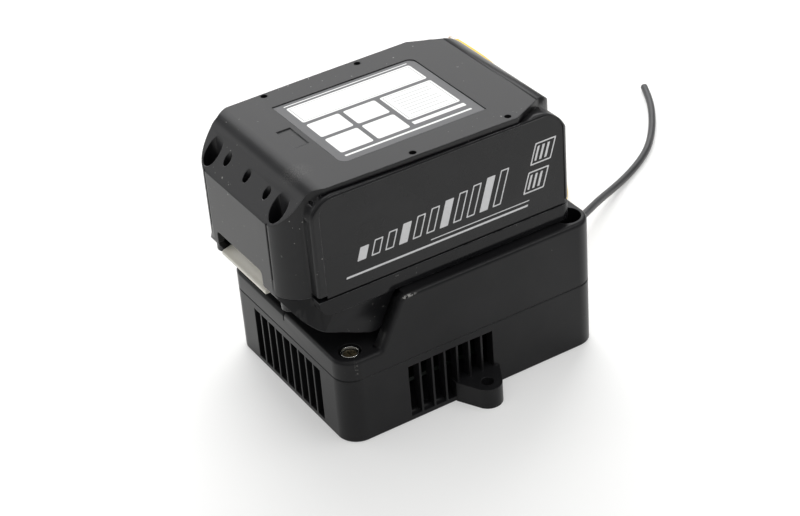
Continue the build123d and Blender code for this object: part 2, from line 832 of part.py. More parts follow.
def blade_wire(side):
    # From the blade's tail down to the board, with one easy sidestep
    top_z = block_bottom_z - blade_tail_depth / 2
    drop = top_z - board_top_z
    step = 2 * wire_radius
    points = ((blade_tail_x, side * blade_y, top_z),
              (blade_tail_x, side * blade_y, top_z - drop / 4),
              (blade_tail_x, side * (blade_y + step), top_z - drop * 3 / 4),
              (blade_tail_x, side * (blade_y + step), board_top_z))
    with BuildPart() as wire:
        with BuildLine() as route:
            FilletPolyline(*points, radius=2 * wire_radius)
        with BuildSketch(Plane(origin=points[0], z_dir=(0, 0, -1))):
            Circle(wire_radius)
        sweep(path=route.line)
    return wire


positive_wire = blade_wire(1)
finish(positive_wire, "positive_wire")
negative_wire = blade_wire(-1)
finish(negative_wire, "negative_wire")


# Grommets in the rear wall, and the leads inside and outside them

grommet_out_x = rear_x + grommet_flange + grommet_nose_length


def grommet(y):
    inner_x = rear_x - shell_wall
    bore = lead_radius + grommet_gap
    with BuildPart() as bush:
        with BuildSketch(Plane.XY.offset(lead_exit_z)):
            with BuildLine():
                Polyline((inner_x - grommet_flange, y + bore),
                         (inner_x - grommet_flange, y + grommet_flange_radius),
                         (inner_x, y + grommet_flange_radius), (inner_x, y + grommet_neck_radius),
                         (rear_x, y + grommet_neck_radius), (rear_x, y + grommet_flange_radius),
                         (rear_x + grommet_flange, y + grommet_flange_radius),
                         (grommet_out_x, y + grommet_nose_radius), (grommet_out_x, y + bore), close=True)
            make_face()
        revolve(axis=Axis((0, y, lead_exit_z), (1, 0, 0)))
    return bush


def inner_lead(y):
    with BuildPart() as wire:
        with BuildSketch(Plane.YZ.offset(wire_seat_x)):
            with Locations((y, lead_exit_z)):
                Circle(lead_radius)
        extrude(amount=grommet_out_x - wire_seat_x)
    return wire


black_grommet = grommet(black_exit_y)
finish(black_grommet, "black_lead_grommet")
yellow_grommet = grommet(yellow_exit_y)
finish(yellow_grommet, "yellow_lead_grommet")
black_inner_lead = inner_lead(black_exit_y)
finish(black_inner_lead, "black_inner_lead")
yellow_inner_lead = inner_lead(yellow_exit_y)
finish(yellow_inner_lead, "yellow_inner_lead")

# The free leads, from the grommet's mouth down to the floor, by points chosen by hand
black_route = ((59.2, 6.0, 13.0), (70.0, 6.0, 13.0), (83.0, 12.0, 12.0), (96.0, 20.0, 9.5),
               (109.0, 28.8, 6.2), (122.0, 36.4, 3.0), (135.0, 43.1, 1.6), (147.0, 49.6, 1.6),
               (157.5, 57.3, 1.6), (168.0, 68.4, 1.6), (177.0, 80.1, 1.6), (183.6, 90.6, 1.6),
               (188.3, 100.3, 1.6))
yellow_route = ((59.2, 17.0, 13.0), (70.0, 17.0, 13.0), (82.0, 23.0, 11.8), (92.0, 31.5, 9.0),
                (101.0, 42.0, 5.6), (109.0, 54.5, 2.6), (116.5, 68.0, 1.6), (123.5, 84.0, 1.6),
                (130.0, 101.0, 1.6), (136.0, 119.0, 1.6), (141.0, 137.0, 1.6), (144.6, 155.0, 1.6),
                (146.8, 174.0, 1.6), (146.2, 193.0, 1.6))


def free_lead(name, points):
    # A tube on straight runs joined by arcs as large as the runs allow
    corners = [Vector(*point) for point in points]
    runs = [(corners[i + 1] - corners[i]) for i in range(len(corners) - 1)]
    radii = []
    for before, after in zip(runs, runs[1:]):
        turn = before.get_angle(after)
        radii.append(lead_turn_share * min(before.length, after.length) / tan(radians(turn / 2)))
    with BuildPart() as tube:
        with BuildLine() as route:
            FilletPolyline(*corners, radius=radii)
        with BuildSketch(Plane(origin=corners[0], z_dir=runs[0])):
            Circle(lead_radius)
        sweep(path=route.line)
    length = sum(edge.length for edge in route.edges())
    print(name, "length", round(length, 1), "section", round(tube.part.volume / length, 3),
          "radii", [round(radius, 1) for radius in radii])
    return tube


black_lead = free_lead("black_lead", black_route)
finish(black_lead, "black_lead")
yellow_lead = free_lead("yellow_lead", yellow_route)
finish(yellow_lead, "yellow_lead")

tip_start = Vector(*yellow_route[-1])
tip_way = (tip_start - Vector(*yellow_route[-2])).normalized()
with BuildPart() as yellow_lead_tip:
    with BuildSketch(Plane(origin=tip_start, z_dir=tip_way)):
        Circle(tip_radius)
    extrude(amount=tip_length)
finish(yellow_lead_tip, "yellow_lead_tip")


# Outlines that the two halves of the pack's case share

pack_edge = ((pack_front_x, nose_half_width),
             (pack_front_x + neck_run, pack_half_width - neck_inset),
             (pack_front_x + shoulder_run, pack_half_width - shoulder_inset),
             (pack_front_x + waist_run, pack_half_width - waist_inset),
             (pack_rear_x - tail_run, pack_half_width - tail_inset),
             (pack_rear_x - tail_cut_run, pack_half_width - tail_cut_inset),
             (pack_rear_x, pack_half_width - tail_end_inset))


def nose_outline(inset=0.0):
    # The crown seen from above: narrow rounded nose, sides that widen a little, cut rear corners
    near = [(x, -y) for x, y in pack_edge]
    with BuildSketch() as outline:
        with BuildLine():
            Polyline(*near, *reversed(pack_edge), close=True)
        make_face()
        fillet(outline.vertices().group_by(Axis.X)[0], nose_corner_radius)
        fillet(outline.vertices().group_by(Axis.X)[-1], tail_corner_radius)
        if inset:
            offset(amount=-inset, mode=Mode.REPLACE)
    return outline.sketch


slope_start_x = pack_front_x + slope_run
slope_foot_z = crown_z - slope_drop
slope_angle = slope_drop / slope_run
cell_top_z = cheek_top_z - groove_depth - cell_roof_gap - holder_gap
upper_cell_z = cell_top_z - cell_radius
lower_cell_z = upper_cell_z - cell_row_pitch
inner_half_width = pack_half_width - case_wall
inner_rear_x = pack_rear_x - case_wall
cell_last_x = inner_rear_x - 2 * holder_gap - cell_radius
cell_first_x = cell_last_x - (cell_column_count - 1) * cell_pitch


# The space inside the case, built first so that it can be cut out whole
with BuildPart() as case_space:
    inner_roof_z = cell_top_z + holder_gap
    side_profile(((cheek_front_x + case_wall, seam_z - overrun), (inner_rear_x, seam_z - overrun),
                  (inner_rear_x, inner_roof_z), (cheek_front_x + case_wall, inner_roof_z)),
                 inner_half_width, ((2, inner_tail_radius),))
    inner_tail = case_space.edges().filter_by(Axis.Z).group_by(Axis.X)[-1]
    fillet(inner_tail, tail_edge_radius - case_wall)
    with BuildSketch(Plane.XY.offset(seam_z - overrun)):
        with Locations(((pack_front_x + case_wall + cell_first_x) / 2, 0)):
            RectangleRounded(cell_first_x - pack_front_x - case_wall, 2 * (nose_half_width - case_wall),
                             nose_corner_radius - case_wall)
    extrude(amount=inner_roof_z - seam_z + overrun)
    slope_inset = case_wall * sqrt(1 + slope_angle ** 2)
    side_profile(((pack_front_x - overrun, slope_foot_z - slope_inset - overrun * slope_angle),
                  (slope_start_x + overrun, crown_z - slope_inset + overrun * slope_angle),
                  (pack_front_x - overrun, crown_z + overrun)),
                 pack_width, (), Mode.SUBTRACT)
    # What stands in that space: screw columns and the two spring posts
    for side in sides:
        post(pack_screw_x, side * pack_screw_y, pack_boss_radius + holder_gap,
             (seam_z - overrun, pack_seat_z - pack_seat_thickness))
        post(pack_screw_x, side * pack_screw_y, pack_column_radius,
             (pack_seat_z - pack_seat_thickness, crown_z), Mode.SUBTRACT)
        post(spring_x, side * spring_y, spring_post_radius,
             (deck_z + spring_free_height, crown_z), Mode.SUBTRACT)
        post(spring_x, side * spring_y, spring_peg_radius,
             (deck_z + spring_free_height - spring_peg_height, crown_z), Mode.SUBTRACT)

# The cheeks on both sides of the nose, with their raised bead and the groove inside it
with BuildPart() as cheeks:
    side_profile(((cheek_front_x, seam_z), (pack_rear_x, seam_z),
                  (pack_rear_x, cheek_top_z), (cheek_front_x, cheek_top_z)),
                 pack_half_width, ((3, cheek_front_radius), (2, cheek_rear_radius)))
    rounded = [edge for edge in cheeks.edges() if abs(abs(edge.center().Y) - pack_half_width) < seam_bevel
               and edge.center().Z > seam_z + seam_bevel and edge.center().X < pack_rear_x - seam_bevel]
    fillet(rounded, cheek_edge_radius)
    with BuildSketch(Plane.XY.offset(seam_z)) as tail_plan:
        with Locations(((cheek_front_x + pack_rear_x) / 2, 0)):
            Rectangle(pack_rear_x - cheek_front_x, pack_width)
        fillet(tail_plan.vertices().group_by(Axis.X)[-1], tail_edge_radius)
    extrude(tail_plan.sketch, amount=case_height, mode=Mode.INTERSECT)
    with BuildSketch(Plane.XY.offset(cheek_top_z - groove_depth)):
        offset(nose_outline(), amount=groove_width)
        add(nose_outline(), mode=Mode.SUBTRACT)
    extrude(amount=2 * groove_depth, mode=Mode.SUBTRACT)

film_front_x = cheek_front_x + bead_width
film_rear_x = pack_rear_x - film_rear_inset
film_top_z = cheek_top_z - bead_top_width
film_outline = ((film_front_x, seam_z + seam_bevel), (film_rear_x, seam_z + seam_bevel),
                (film_rear_x, film_top_z), (film_front_x, film_top_z))

with BuildPart() as battery_case:
    with BuildSketch(Plane.XY.offset(seam_z)):
        add(nose_outline())
    extrude(amount=case_height)
    side_profile(((pack_front_x - overrun, seam_z - overrun), (pack_rear_x, seam_z - overrun),
                  (pack_rear_x, crown_z), (slope_start_x, crown_z),
                  (pack_front_x - overrun, slope_foot_z - overrun * slope_angle)),
                 pack_width, ((2, rear_blend_radius), (3, slope_blend_radius)), Mode.INTERSECT)
    add(cheeks.part)
    for side in sides:
        recess_y = sorted((side * (pack_half_width - film_recess), side * (pack_half_width + overrun)))
        with BuildSketch(Plane.XZ.offset(-recess_y[1])) as recess:
            with BuildLine():
                Polyline(*film_outline, close=True)
            make_face()
            fillet(recess.vertices().sort_by_distance(Vector(film_front_x, film_top_z))[0], film_front_radius)
            fillet(recess.vertices().sort_by_distance(Vector(film_rear_x, film_top_z))[0], film_rear_radius)
        extrude(recess.sketch, amount=recess_y[1] - recess_y[0], mode=Mode.SUBTRACT)
    add(case_space.part, mode=Mode.SUBTRACT)
    # Label recess and the small marks beside it
    with BuildSketch(Plane.XY.offset(crown_z - label_recess)) as sticker:
        with Locations((label_middle_x, 0)):
            Rectangle(label_length, label_width)
        fillet(sticker.vertices().sort_by(Axis((0, 0, 0), (1, 1, 0)))[-1], label_corner_radius)
        fillet(sticker.vertices().sort_by(Axis((0, 0, 0), (1, 1, 0)))[0], label_corner_radius)
    extrude(amount=2 * label_recess, mode=Mode.SUBTRACT)
    slab((code_recess_x - code_recess_width / 2, code_recess_x + code_recess_width / 2),
         (code_recess_y - code_recess_length / 2, code_recess_y + code_recess_length / 2),
         (crown_z - code_recess_depth, crown_z + overrun), Mode.SUBTRACT)
    for side in sides:
        hole_x = pack_front_x + (far_pin_hole_run if side > 0 else near_pin_hole_run)
        for x in (hole_x, hole_x + pin_hole_pitch):
            post(x, side * pin_hole_y, pin_hole_radius, (crown_z - pin_hole_depth, crown_z + overrun),
                 Mode.SUBTRACT)
        post(pack_screw_x, side * pack_screw_y, pack_well_radius, (pack_seat_z, crown_z), Mode.SUBTRACT)
        post(pack_screw_x, side * pack_screw_y, pack_shank_radius + 3 * thread_gap,
             (pack_seat_z - 2 * pack_seat_thickness, pack_seat_z + overrun), Mode.SUBTRACT)
        groove_middle_y = side * nose_groove_y
        slab((pack_front_x - overrun, pack_front_x + nose_groove_depth),
             (groove_middle_y - nose_groove_width / 2, groove_middle_y + nose_groove_width / 2),
             (nose_groove_bottom, crown_z), Mode.SUBTRACT)
    for index in (-1, 0, 1):
        post(nose_hole_x, index * nose_hole_pitch, nose_hole_radius,
             (crown_z - slope_drop - nose_hole_depth, crown_z), Mode.SUBTRACT)
    # The button's opening in the nose
    opening_width = button_far_y - button_near_y + 2 * button_gap
    opening_middle_y = (button_far_y + button_near_y) / 2
    opening_height = button_opening_top - button_opening_bottom
    with BuildSketch(Plane.YZ.offset(pack_front_x - overrun)) as opening:
        with Locations((opening_middle_y, (button_opening_top + button_opening_bottom) / 2)):
            Rectangle(opening_width, opening_height)
        fillet(opening.vertices().group_by(Axis.Y)[-1], button_opening_radius)
    extrude(opening.sketch, amount=button_opening_rear_x - pack_front_x + overrun, mode=Mode.SUBTRACT)
finish(battery_case, "battery_case")


# Rail cover: flange, hump and the rail block with its two blade slots

hump_cap_z = seam_z + 4 * overrun
hump_profile = ((pack_front_x, hump_cap_z), (pack_front_x, seam_z - hump_chin_drop),
                (pack_front_x + hump_face_run, seam_z - hump_face_drop),
                (pack_front_x + hump_belly_run, seam_z - hump_belly_drop),
                (hump_rear_x - hump_keel_front_run, hump_low_z),
                (hump_rear_x - hump_keel_rear_run, hump_low_z),
                (hump_rear_x - hump_heel_run, hump_low_z + hump_heel_rise),
                (hump_rear_x - hump_back_run, seam_z - hump_back_drop),
                (hump_rear_x - hump_root_run, flange_z), (hump_rear_x, flange_z), (hump_rear_x, hump_cap_z))
hump_radii = ((1, hump_chin_radius), (2, hump_front_radius), (3, hump_front_radius),
              (4, hump_keel_front_radius), (5, hump_keel_rear_radius), (6, hump_heel_radius))


def hump_solid(inset):
    # The front block under the pack: a rounded keel inside a flared outline
    rise = seam_z - hump_low_z + (overrun if inset else 0)
    spread = (seam_z - hump_low_z) * tan(radians(hump_flare_angle))
    with BuildPart() as block:
        with BuildSketch(Plane.XY.offset(hump_low_z)) as flared:
            offset(nose_outline(inset), amount=spread)
        extrude(amount=rise, taper=hump_flare_angle)
        with BuildSketch(Plane.XZ) as keel:
            with BuildLine():
                Polyline(*hump_profile, close=True)
            make_face()
            for index, radius in hump_radii:
                fillet(keel.vertices().sort_by_distance(Vector(*hump_profile[index]))[0], radius)
            if inset:
                offset(amount=-inset, mode=Mode.REPLACE)
        extrude(keel.sketch, amount=hump_half_width - inset, both=True, mode=Mode.INTERSECT)
    return block.part


rail_inner_half_width = neck_width / 2 - case_wall
slot_inner_z = channel_floor_z + blade_rise + slot_headroom
slot_top_z = slot_inner_z + slot_roof
flange_floor_z = flange_z + case_wall
board_under_z = seam_z - pack_board_drop

with BuildPart() as rail_cover:
    side_profile(((cheek_front_x, seam_z), (pack_rear_x, seam_z), (pack_rear_x, flange_z),
                  (cheek_front_x, flange_z)), pack_half_width, ((3, flange_under_radius),))
    fillet(rail_cover.edges().filter_by(Axis.Z).group_by(Axis.X)[-1], tail_edge_radius)
    add(hump_solid(0.0))
    slab((rail_block_front_x, rail_block_rear_x), (-neck_width / 2, neck_width / 2), (platform_z, flange_z))
    slab((hump_rear_x - overrun, rail_block_rear_x), (-rail_width / 2, rail_width / 2),
         (platform_z, platform_z + rail_lip))
    # Hollow inside
    add(hump_solid(hump_wall), mode=Mode.SUBTRACT)
    slab((cheek_front_x + case_wall, inner_rear_x), (-inner_half_width, inner_half_width),
         (flange_floor_z, seam_z + overrun), Mode.SUBTRACT)
    slab((hump_rear_x - 2 * case_wall, rail_block_rear_x - case_wall),
         (-rail_inner_half_width, rail_inner_half_width), (platform_z + case_wall, flange_floor_z + overrun),
         Mode.SUBTRACT)
    # Blade slots, walled off from the inside
    for side in sides:
        slot_y = side * blade_y
        slab((blade_front_x - 2 * slot_wall, rail_block_rear_x - case_wall / 2),
             (slot_y - slot_half_width - slot_wall, slot_y + slot_half_width + slot_wall),
             (platform_z, slot_top_z))
        slab((blade_front_x - slot_wall, rail_block_rear_x + overrun),
             (slot_y - slot_half_width, slot_y + slot_half_width),
             (platform_z - overrun, slot_inner_z), Mode.SUBTRACT)
        tail_x = blade_front_x + clip_length / 2 + slot_wall / 2
        slab((tail_x - clip_tail_width / 2 - blade_gap, tail_x + clip_tail_width / 2 + blade_gap),
             (slot_y - clip_leaf / 2 - blade_gap, slot_y + clip_leaf / 2 + blade_gap),
             (slot_inner_z - overrun, slot_top_z + overrun), Mode.SUBTRACT)
        # Screw bosses at the nose and tongues at the tail
        post(pack_screw_x, side * pack_screw_y, pack_boss_radius,
             (flange_z, pack_seat_z - pack_seat_thickness))
        post(pack_screw_x, side * pack_screw_y, pack_shank_radius + thread_gap,
             (pack_seat_z - pack_screw_length - overrun / 2, pack_seat_z), Mode.SUBTRACT)
        slab((inner_rear_x - tongue_thickness - seam_bevel, inner_rear_x - seam_bevel),
             (side * tongue_y - tongue_width / 2, side * tongue_y + tongue_width / 2),
             (flange_floor_z - overrun, seam_z + tongue_height))
    # Posts under the protection board
    for x in (board_post_front_x, board_post_rear_x):
        for y in (board_post_y, -board_post_y):
            post(x, y, board_post_radius, (flange_floor_z - overrun, board_under_z))
    # The latch's way through: the button's opening and the hook's hole
    slab((pack_front_x - overrun, button_opening_rear_x),
         (button_near_y - button_gap, button_far_y + button_gap),
         (button_opening_bottom, seam_z + overrun), Mode.SUBTRACT)
    slab((hook_front_x - hook_gap, hook_front_x + hook_length + hook_gap),
         (-hook_half_width - hook_gap, hook_half_width + hook_gap),
         (platform_z - overrun, platform_z + 2 * case_wall), Mode.SUBTRACT)
finish(rail_cover, "rail_cover")


# Side films and the label, cut to their recesses

def side_film(side):
    outer = pack_half_width - film_recess + film_thickness
    with BuildPart() as film:
        sheet_y = max(side * outer, side * (outer - film_thickness))
        with BuildSketch(Plane.XZ.offset(-sheet_y)) as sheet_outline:
            with BuildLine():
                Polyline(*film_outline, close=True)
            make_face()
            fillet(sheet_outline.vertices().sort_by_distance(Vector(film_front_x, film_top_z))[0],
                   film_front_radius)
            fillet(sheet_outline.vertices().sort_by_distance(Vector(film_rear_x, film_top_z))[0],
                   film_rear_radius)
            offset(amount=-film_inset, mode=Mode.REPLACE)
        extrude(sheet_outline.sketch, amount=film_thickness)
    return film


side_film_near = side_film(-1)
finish(side_film_near, "side_film_near")
side_film_far = side_film(1)
finish(side_film_far, "side_film_far")

with BuildPart() as label_plate:
    with BuildSketch(Plane.XY.offset(crown_z - label_recess)) as sticker:
        with Locations((label_middle_x, 0)):
            Rectangle(label_length - 2 * film_inset, label_width - 2 * film_inset)
        fillet(sticker.vertices().sort_by(Axis((0, 0, 0), (1, 1, 0)))[-1], label_corner_radius - film_inset)
        fillet(sticker.vertices().sort_by(Axis((0, 0, 0), (1, 1, 0)))[0], label_corner_radius - film_inset)
    extrude(amount=label_thickness)
finish(label_plate, "label_plate")

with BuildPart() as case_screws:
    for side in sides:
        pan_screw(pack_screw_x, side * pack_screw_y, pack_seat_z, pack_head_radius, pack_head_height,
                  pack_shank_radius, pack_screw_length)
finish(case_screws, "case_screws")


# Cells, their two holders and the strips that join them

cell_places = [cell_first_x + index * cell_pitch for index in range(cell_column_count)]


def cell_row(z):
    # Rolled edges at both ends of each can
    bevel = cell_radius * cell_bevel_share
    with BuildPart() as row:
        with Locations(*[Location((x, 0, z), (90, 0, 0)) for x in cell_places]):
            Cylinder(cell_radius, cell_length)
        chamfer(row.edges().filter_by(GeomType.CIRCLE), bevel)
    return row


def cell_holder(side):
    inner_y = cell_length / 2 - holder_depth - holder_end
    middle_z = (upper_cell_z + lower_cell_z) / 2
    half_tall = cell_row_pitch / 2 + cell_radius - holder_open
    rear_reach = cell_last_x + cell_radius + holder_gap
    with BuildPart() as holder:
        with BuildSketch(Plane.XZ.offset(-max(side * inner_y, side * (inner_y + holder_depth)))) as grid:
            with BuildLine():
                Polyline((cell_space_front_x, middle_z - half_tall), (rear_reach, middle_z - half_tall),
                         (rear_reach, middle_z + half_tall), (cell_space_front_x, middle_z + half_tall),
                         close=True)
            make_face()
            fillet(grid.vertices().sort_by_distance(Vector(rear_reach, middle_z + half_tall))[0],
                   cell_radius - holder_gap)
            with Locations(*[(x, z) for x in cell_places for z in (upper_cell_z, lower_cell_z)]):
                Circle(cell_radius + holder_bore_gap, mode=Mode.SUBTRACT)
        extrude(grid.sketch, amount=holder_depth)
    return holder


cell_holder_near = cell_holder(-1)
finish(cell_holder_near, "cell_holder_near")
cell_holder_far = cell_holder(1)
finish(cell_holder_far, "cell_holder_far")
cells_upper = cell_row(upper_cell_z)
finish(cells_upper, "cells_upper_row")
cells_lower = cell_row(lower_cell_z)
finish(cells_lower, "cells_lower_row")

strip_y = cell_length / 2
with BuildPart() as nickel_strips:
    for x in cell_places:
        slab((x - strip_width / 2, x + strip_width / 2), (-strip_y - strip_thickness, -strip_y),
             (lower_cell_z - strip_width / 2, upper_cell_z + strip_width / 2))
    row_levels = (upper_cell_z, lower_cell_z)
    tail = cell_column_count - 1
    far_pairs = [(index, index + 1, row_levels[index % 2]) for index in range(tail)]
    for first, last, z in [*far_pairs, (0, 0, lower_cell_z), (tail, tail, row_levels[tail % 2])]:
        slab((cell_places[first] - strip_width / 2, cell_places[last] + strip_width / 2),
             (strip_y, strip_y + strip_thickness), (z - strip_width / 2, z + strip_width / 2))
finish(nickel_strips, "nickel_strips")

clip_top_z = slot_inner_z - blade_thickness
tail_top_z = board_under_z + board_thickness + clip_leaf
tail_x = blade_front_x + clip_length / 2 + slot_wall / 2
with BuildPart() as protection_board:
    slab((pack_board_front_x, pack_board_rear_x), (-pack_board_half_width, pack_board_half_width),
         (board_under_z, board_under_z + board_thickness))
    for side in sides:
        slot_y = side * blade_y
        slab((tail_x - clip_tail_width / 2 - blade_gap, tail_x + clip_tail_width / 2 + blade_gap),
             (slot_y - clip_leaf / 2 - blade_gap, slot_y + clip_leaf / 2 + blade_gap),
             (board_under_z - overrun, board_under_z + board_thickness + overrun), Mode.SUBTRACT)
finish(protection_board, "protection_board")


def clip(side):
    # Two spring leaves that pinch the blade, joined above it, with a tail up to the board
    slot_y = side * blade_y
    inner = blade_thickness / 2 + clip_pinch_gap
    low_z = platform_z + blade_thickness
    x_range = (blade_front_x, blade_front_x + clip_length)
    with BuildPart() as pair:
        slab(x_range, (slot_y + inner, slot_y + inner + clip_leaf), (low_z, clip_top_z))
        slab(x_range, (slot_y - inner - clip_leaf, slot_y - inner), (low_z, clip_top_z))
        slab(x_range, (slot_y - inner - clip_leaf, slot_y + inner + clip_leaf),
             (clip_top_z - clip_leaf, clip_top_z))
        slab((tail_x - clip_tail_width / 2, tail_x + clip_tail_width / 2),
             (slot_y - clip_leaf / 2, slot_y + clip_leaf / 2), (clip_top_z - clip_leaf, tail_top_z))
    return pair


positive_clip = clip(1)
finish(positive_clip, "positive_clip")
negative_clip = clip(-1)
finish(negative_clip, "negative_clip")


# Release button with its deck, arm and hook, and the two springs that push it back

hook_tip_z = platform_z - slide_gap - hook_reach
with BuildPart() as release_button:
    with BuildSketch(Plane.XZ.offset(-button_far_y)) as plate:
        with BuildLine():
            Polyline((button_plate_x, button_top), (button_plate_x, button_shelf_inner_z),
                     (button_lip_x + button_lip_bevel, button_shelf_outer_z),
                     (button_lip_x, button_shelf_outer_z - button_lip_bevel), (button_lip_x, button_bottom),
                     (button_plate_x + button_thickness, button_bottom),
                     (button_plate_x + button_thickness, button_top), close=True)
        make_face()
    extrude(plate.sketch, amount=button_far_y - button_near_y)
    web_rear_x = spring_x + button_thickness
    slab((button_plate_x + button_thickness / 2, deck_rear_x), (-deck_half_width, deck_half_width),
         (deck_z - deck_thickness, deck_z))
    slab((web_rear_x - button_thickness, web_rear_x), (-arm_half_width, arm_half_width),
         (arm_z, deck_z))
    slab((web_rear_x - button_thickness, hook_front_x + hook_length), (-arm_half_width, arm_half_width),
         (arm_z, arm_z + arm_thickness))
    slab((hook_front_x, hook_front_x + hook_length), (-hook_half_width, hook_half_width),
         (hook_tip_z, arm_z + arm_thickness))
    hook_edge = release_button.faces().sort_by(Axis.Z)[0].edges().filter_by(Axis.Y).sort_by(Axis.X)[-1]
    chamfer(hook_edge, hook_lead_in)
finish(release_button, "release_button")

wire_half = spring_wire / 2
with BuildPart() as latch_springs:
    for side in sides:
        start = Vector(spring_x + spring_radius, side * spring_y, deck_z + wire_half + blade_gap / 2)
        rise = spring_free_height - spring_wire - blade_gap
        with BuildLine() as coil:
            Helix(pitch=rise / spring_turns, height=rise, radius=spring_radius,
                  center=(spring_x, side * spring_y, start.Z))
        with BuildSketch(Plane(origin=coil.line @ 0, z_dir=coil.line % 0)):
            RegularPolygon(wire_half, spring_wire_sides)
        sweep(path=coil.line)
finish(latch_springs, "latch_springs")
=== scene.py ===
import bpy
import bmesh
import math
from mathutils import Matrix, Vector


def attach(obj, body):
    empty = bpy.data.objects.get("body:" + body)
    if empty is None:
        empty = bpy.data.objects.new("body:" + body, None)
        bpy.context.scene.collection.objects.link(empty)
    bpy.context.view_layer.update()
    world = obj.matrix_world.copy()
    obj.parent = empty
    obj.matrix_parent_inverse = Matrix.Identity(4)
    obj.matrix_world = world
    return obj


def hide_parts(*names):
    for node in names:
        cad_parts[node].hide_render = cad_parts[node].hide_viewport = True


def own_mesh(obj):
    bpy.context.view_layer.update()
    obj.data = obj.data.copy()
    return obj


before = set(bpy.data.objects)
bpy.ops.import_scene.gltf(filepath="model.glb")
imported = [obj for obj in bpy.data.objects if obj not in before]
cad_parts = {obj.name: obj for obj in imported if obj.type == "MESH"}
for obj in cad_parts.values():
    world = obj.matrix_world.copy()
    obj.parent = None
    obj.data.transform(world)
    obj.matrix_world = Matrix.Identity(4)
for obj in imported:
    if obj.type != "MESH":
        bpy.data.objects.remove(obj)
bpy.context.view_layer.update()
print("frame loaded, nodes:", len(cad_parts))

mm = 0.001
mergeDistance = 0.00001


def show(thing):
    bpy.context.scene.collection.objects.link(thing)
    return thing


# Camera: fitted to the edges of the box and the battery, so the view is the photograph's
cameraFacts = {
    "place": (-0.3105, -0.5409, 0.4489),
    "heading": 0.515,
    "down": math.radians(33.41),
    "roll": math.radians(-4.72),
    "focalPixels": 1995.378,
    "pictureWidth": 800,
    "sensorWidth": 36,
    "near": 0.05,
    "far": 20,
}


def makeCamera(facts):
    heading, down, roll = facts["heading"], facts["down"], facts["roll"]
    forward = Vector((math.sin(heading) * math.cos(down), math.cos(heading) * math.cos(down),
                      -math.sin(down)))
    right = Vector((math.cos(heading), -math.sin(heading), 0))
    up = right.cross(forward)
    tiltedRight = math.cos(roll) * right + math.sin(roll) * up
    tiltedUp = math.cos(roll) * up - math.sin(roll) * right
    data = bpy.data.cameras.new("photoCamera")
    data.lens = facts["focalPixels"] / facts["pictureWidth"] * facts["sensorWidth"]
    data.sensor_width = facts["sensorWidth"]
    data.clip_start = facts["near"]
    data.clip_end = facts["far"]
    camera = bpy.data.objects.new("photoCamera", data)
    turn = Matrix((tiltedRight, tiltedUp, -forward)).transposed()
    camera.matrix_world = Matrix.Translation(facts["place"]) @ turn.to_4x4()
    bpy.context.scene.camera = show(camera)


makeCamera(cameraFacts)
print("camera ready")


# Shader maths as plain expressions
class Wire:
    def __init__(self, tree, socket):
        self.tree = tree
        self.socket = socket

    def maths(self, operation, *others, first=None):
        node = self.tree.nodes.new("ShaderNodeMath")
        node.operation = operation
        values = [self, *others] if first is None else [first, self, *others]
        for slot, value in zip(node.inputs, values):
            if isinstance(value, Wire):
                self.tree.links.new(value.socket, slot)
            else:
                slot.default_value = value
        return Wire(self.tree, node.outputs[0])

    def __add__(self, other):
        return self.maths("ADD", other)

    def __sub__(self, other):
        return self.maths("SUBTRACT", other)

    def __rsub__(self, other):
        return self.maths("SUBTRACT", first=other)

    def __mul__(self, other):
        return self.maths("MULTIPLY", other)

    def __truediv__(self, other):
        return self.maths("DIVIDE", other)

    def __pow__(self, other):
        return self.maths("POWER", other)

    def size(self):
        return self.maths("ABSOLUTE")

    def fraction(self):
        return self.maths("FRACT")

    def atLeast(self, other):
        return self.maths("MAXIMUM", other)

    def atMost(self, other):
        return self.maths("MINIMUM", other)

    def rise(self, low, high):
        # 0 at low, 1 at high and smooth between; with low above high it falls instead
        node = self.tree.nodes.new("ShaderNodeMapRange")
        node.interpolation_type = "SMOOTHSTEP"
        self.tree.links.new(self.socket, node.inputs["Value"])
        node.inputs["From Min"].default_value = min(low, high)
        node.inputs["From Max"].default_value = max(low, high)
        node.inputs["To Min"].default_value = 0 if low < high else 1
        node.inputs["To Max"].default_value = 1 if low < high else 0
        return Wire(self.tree, node.outputs["Result"])


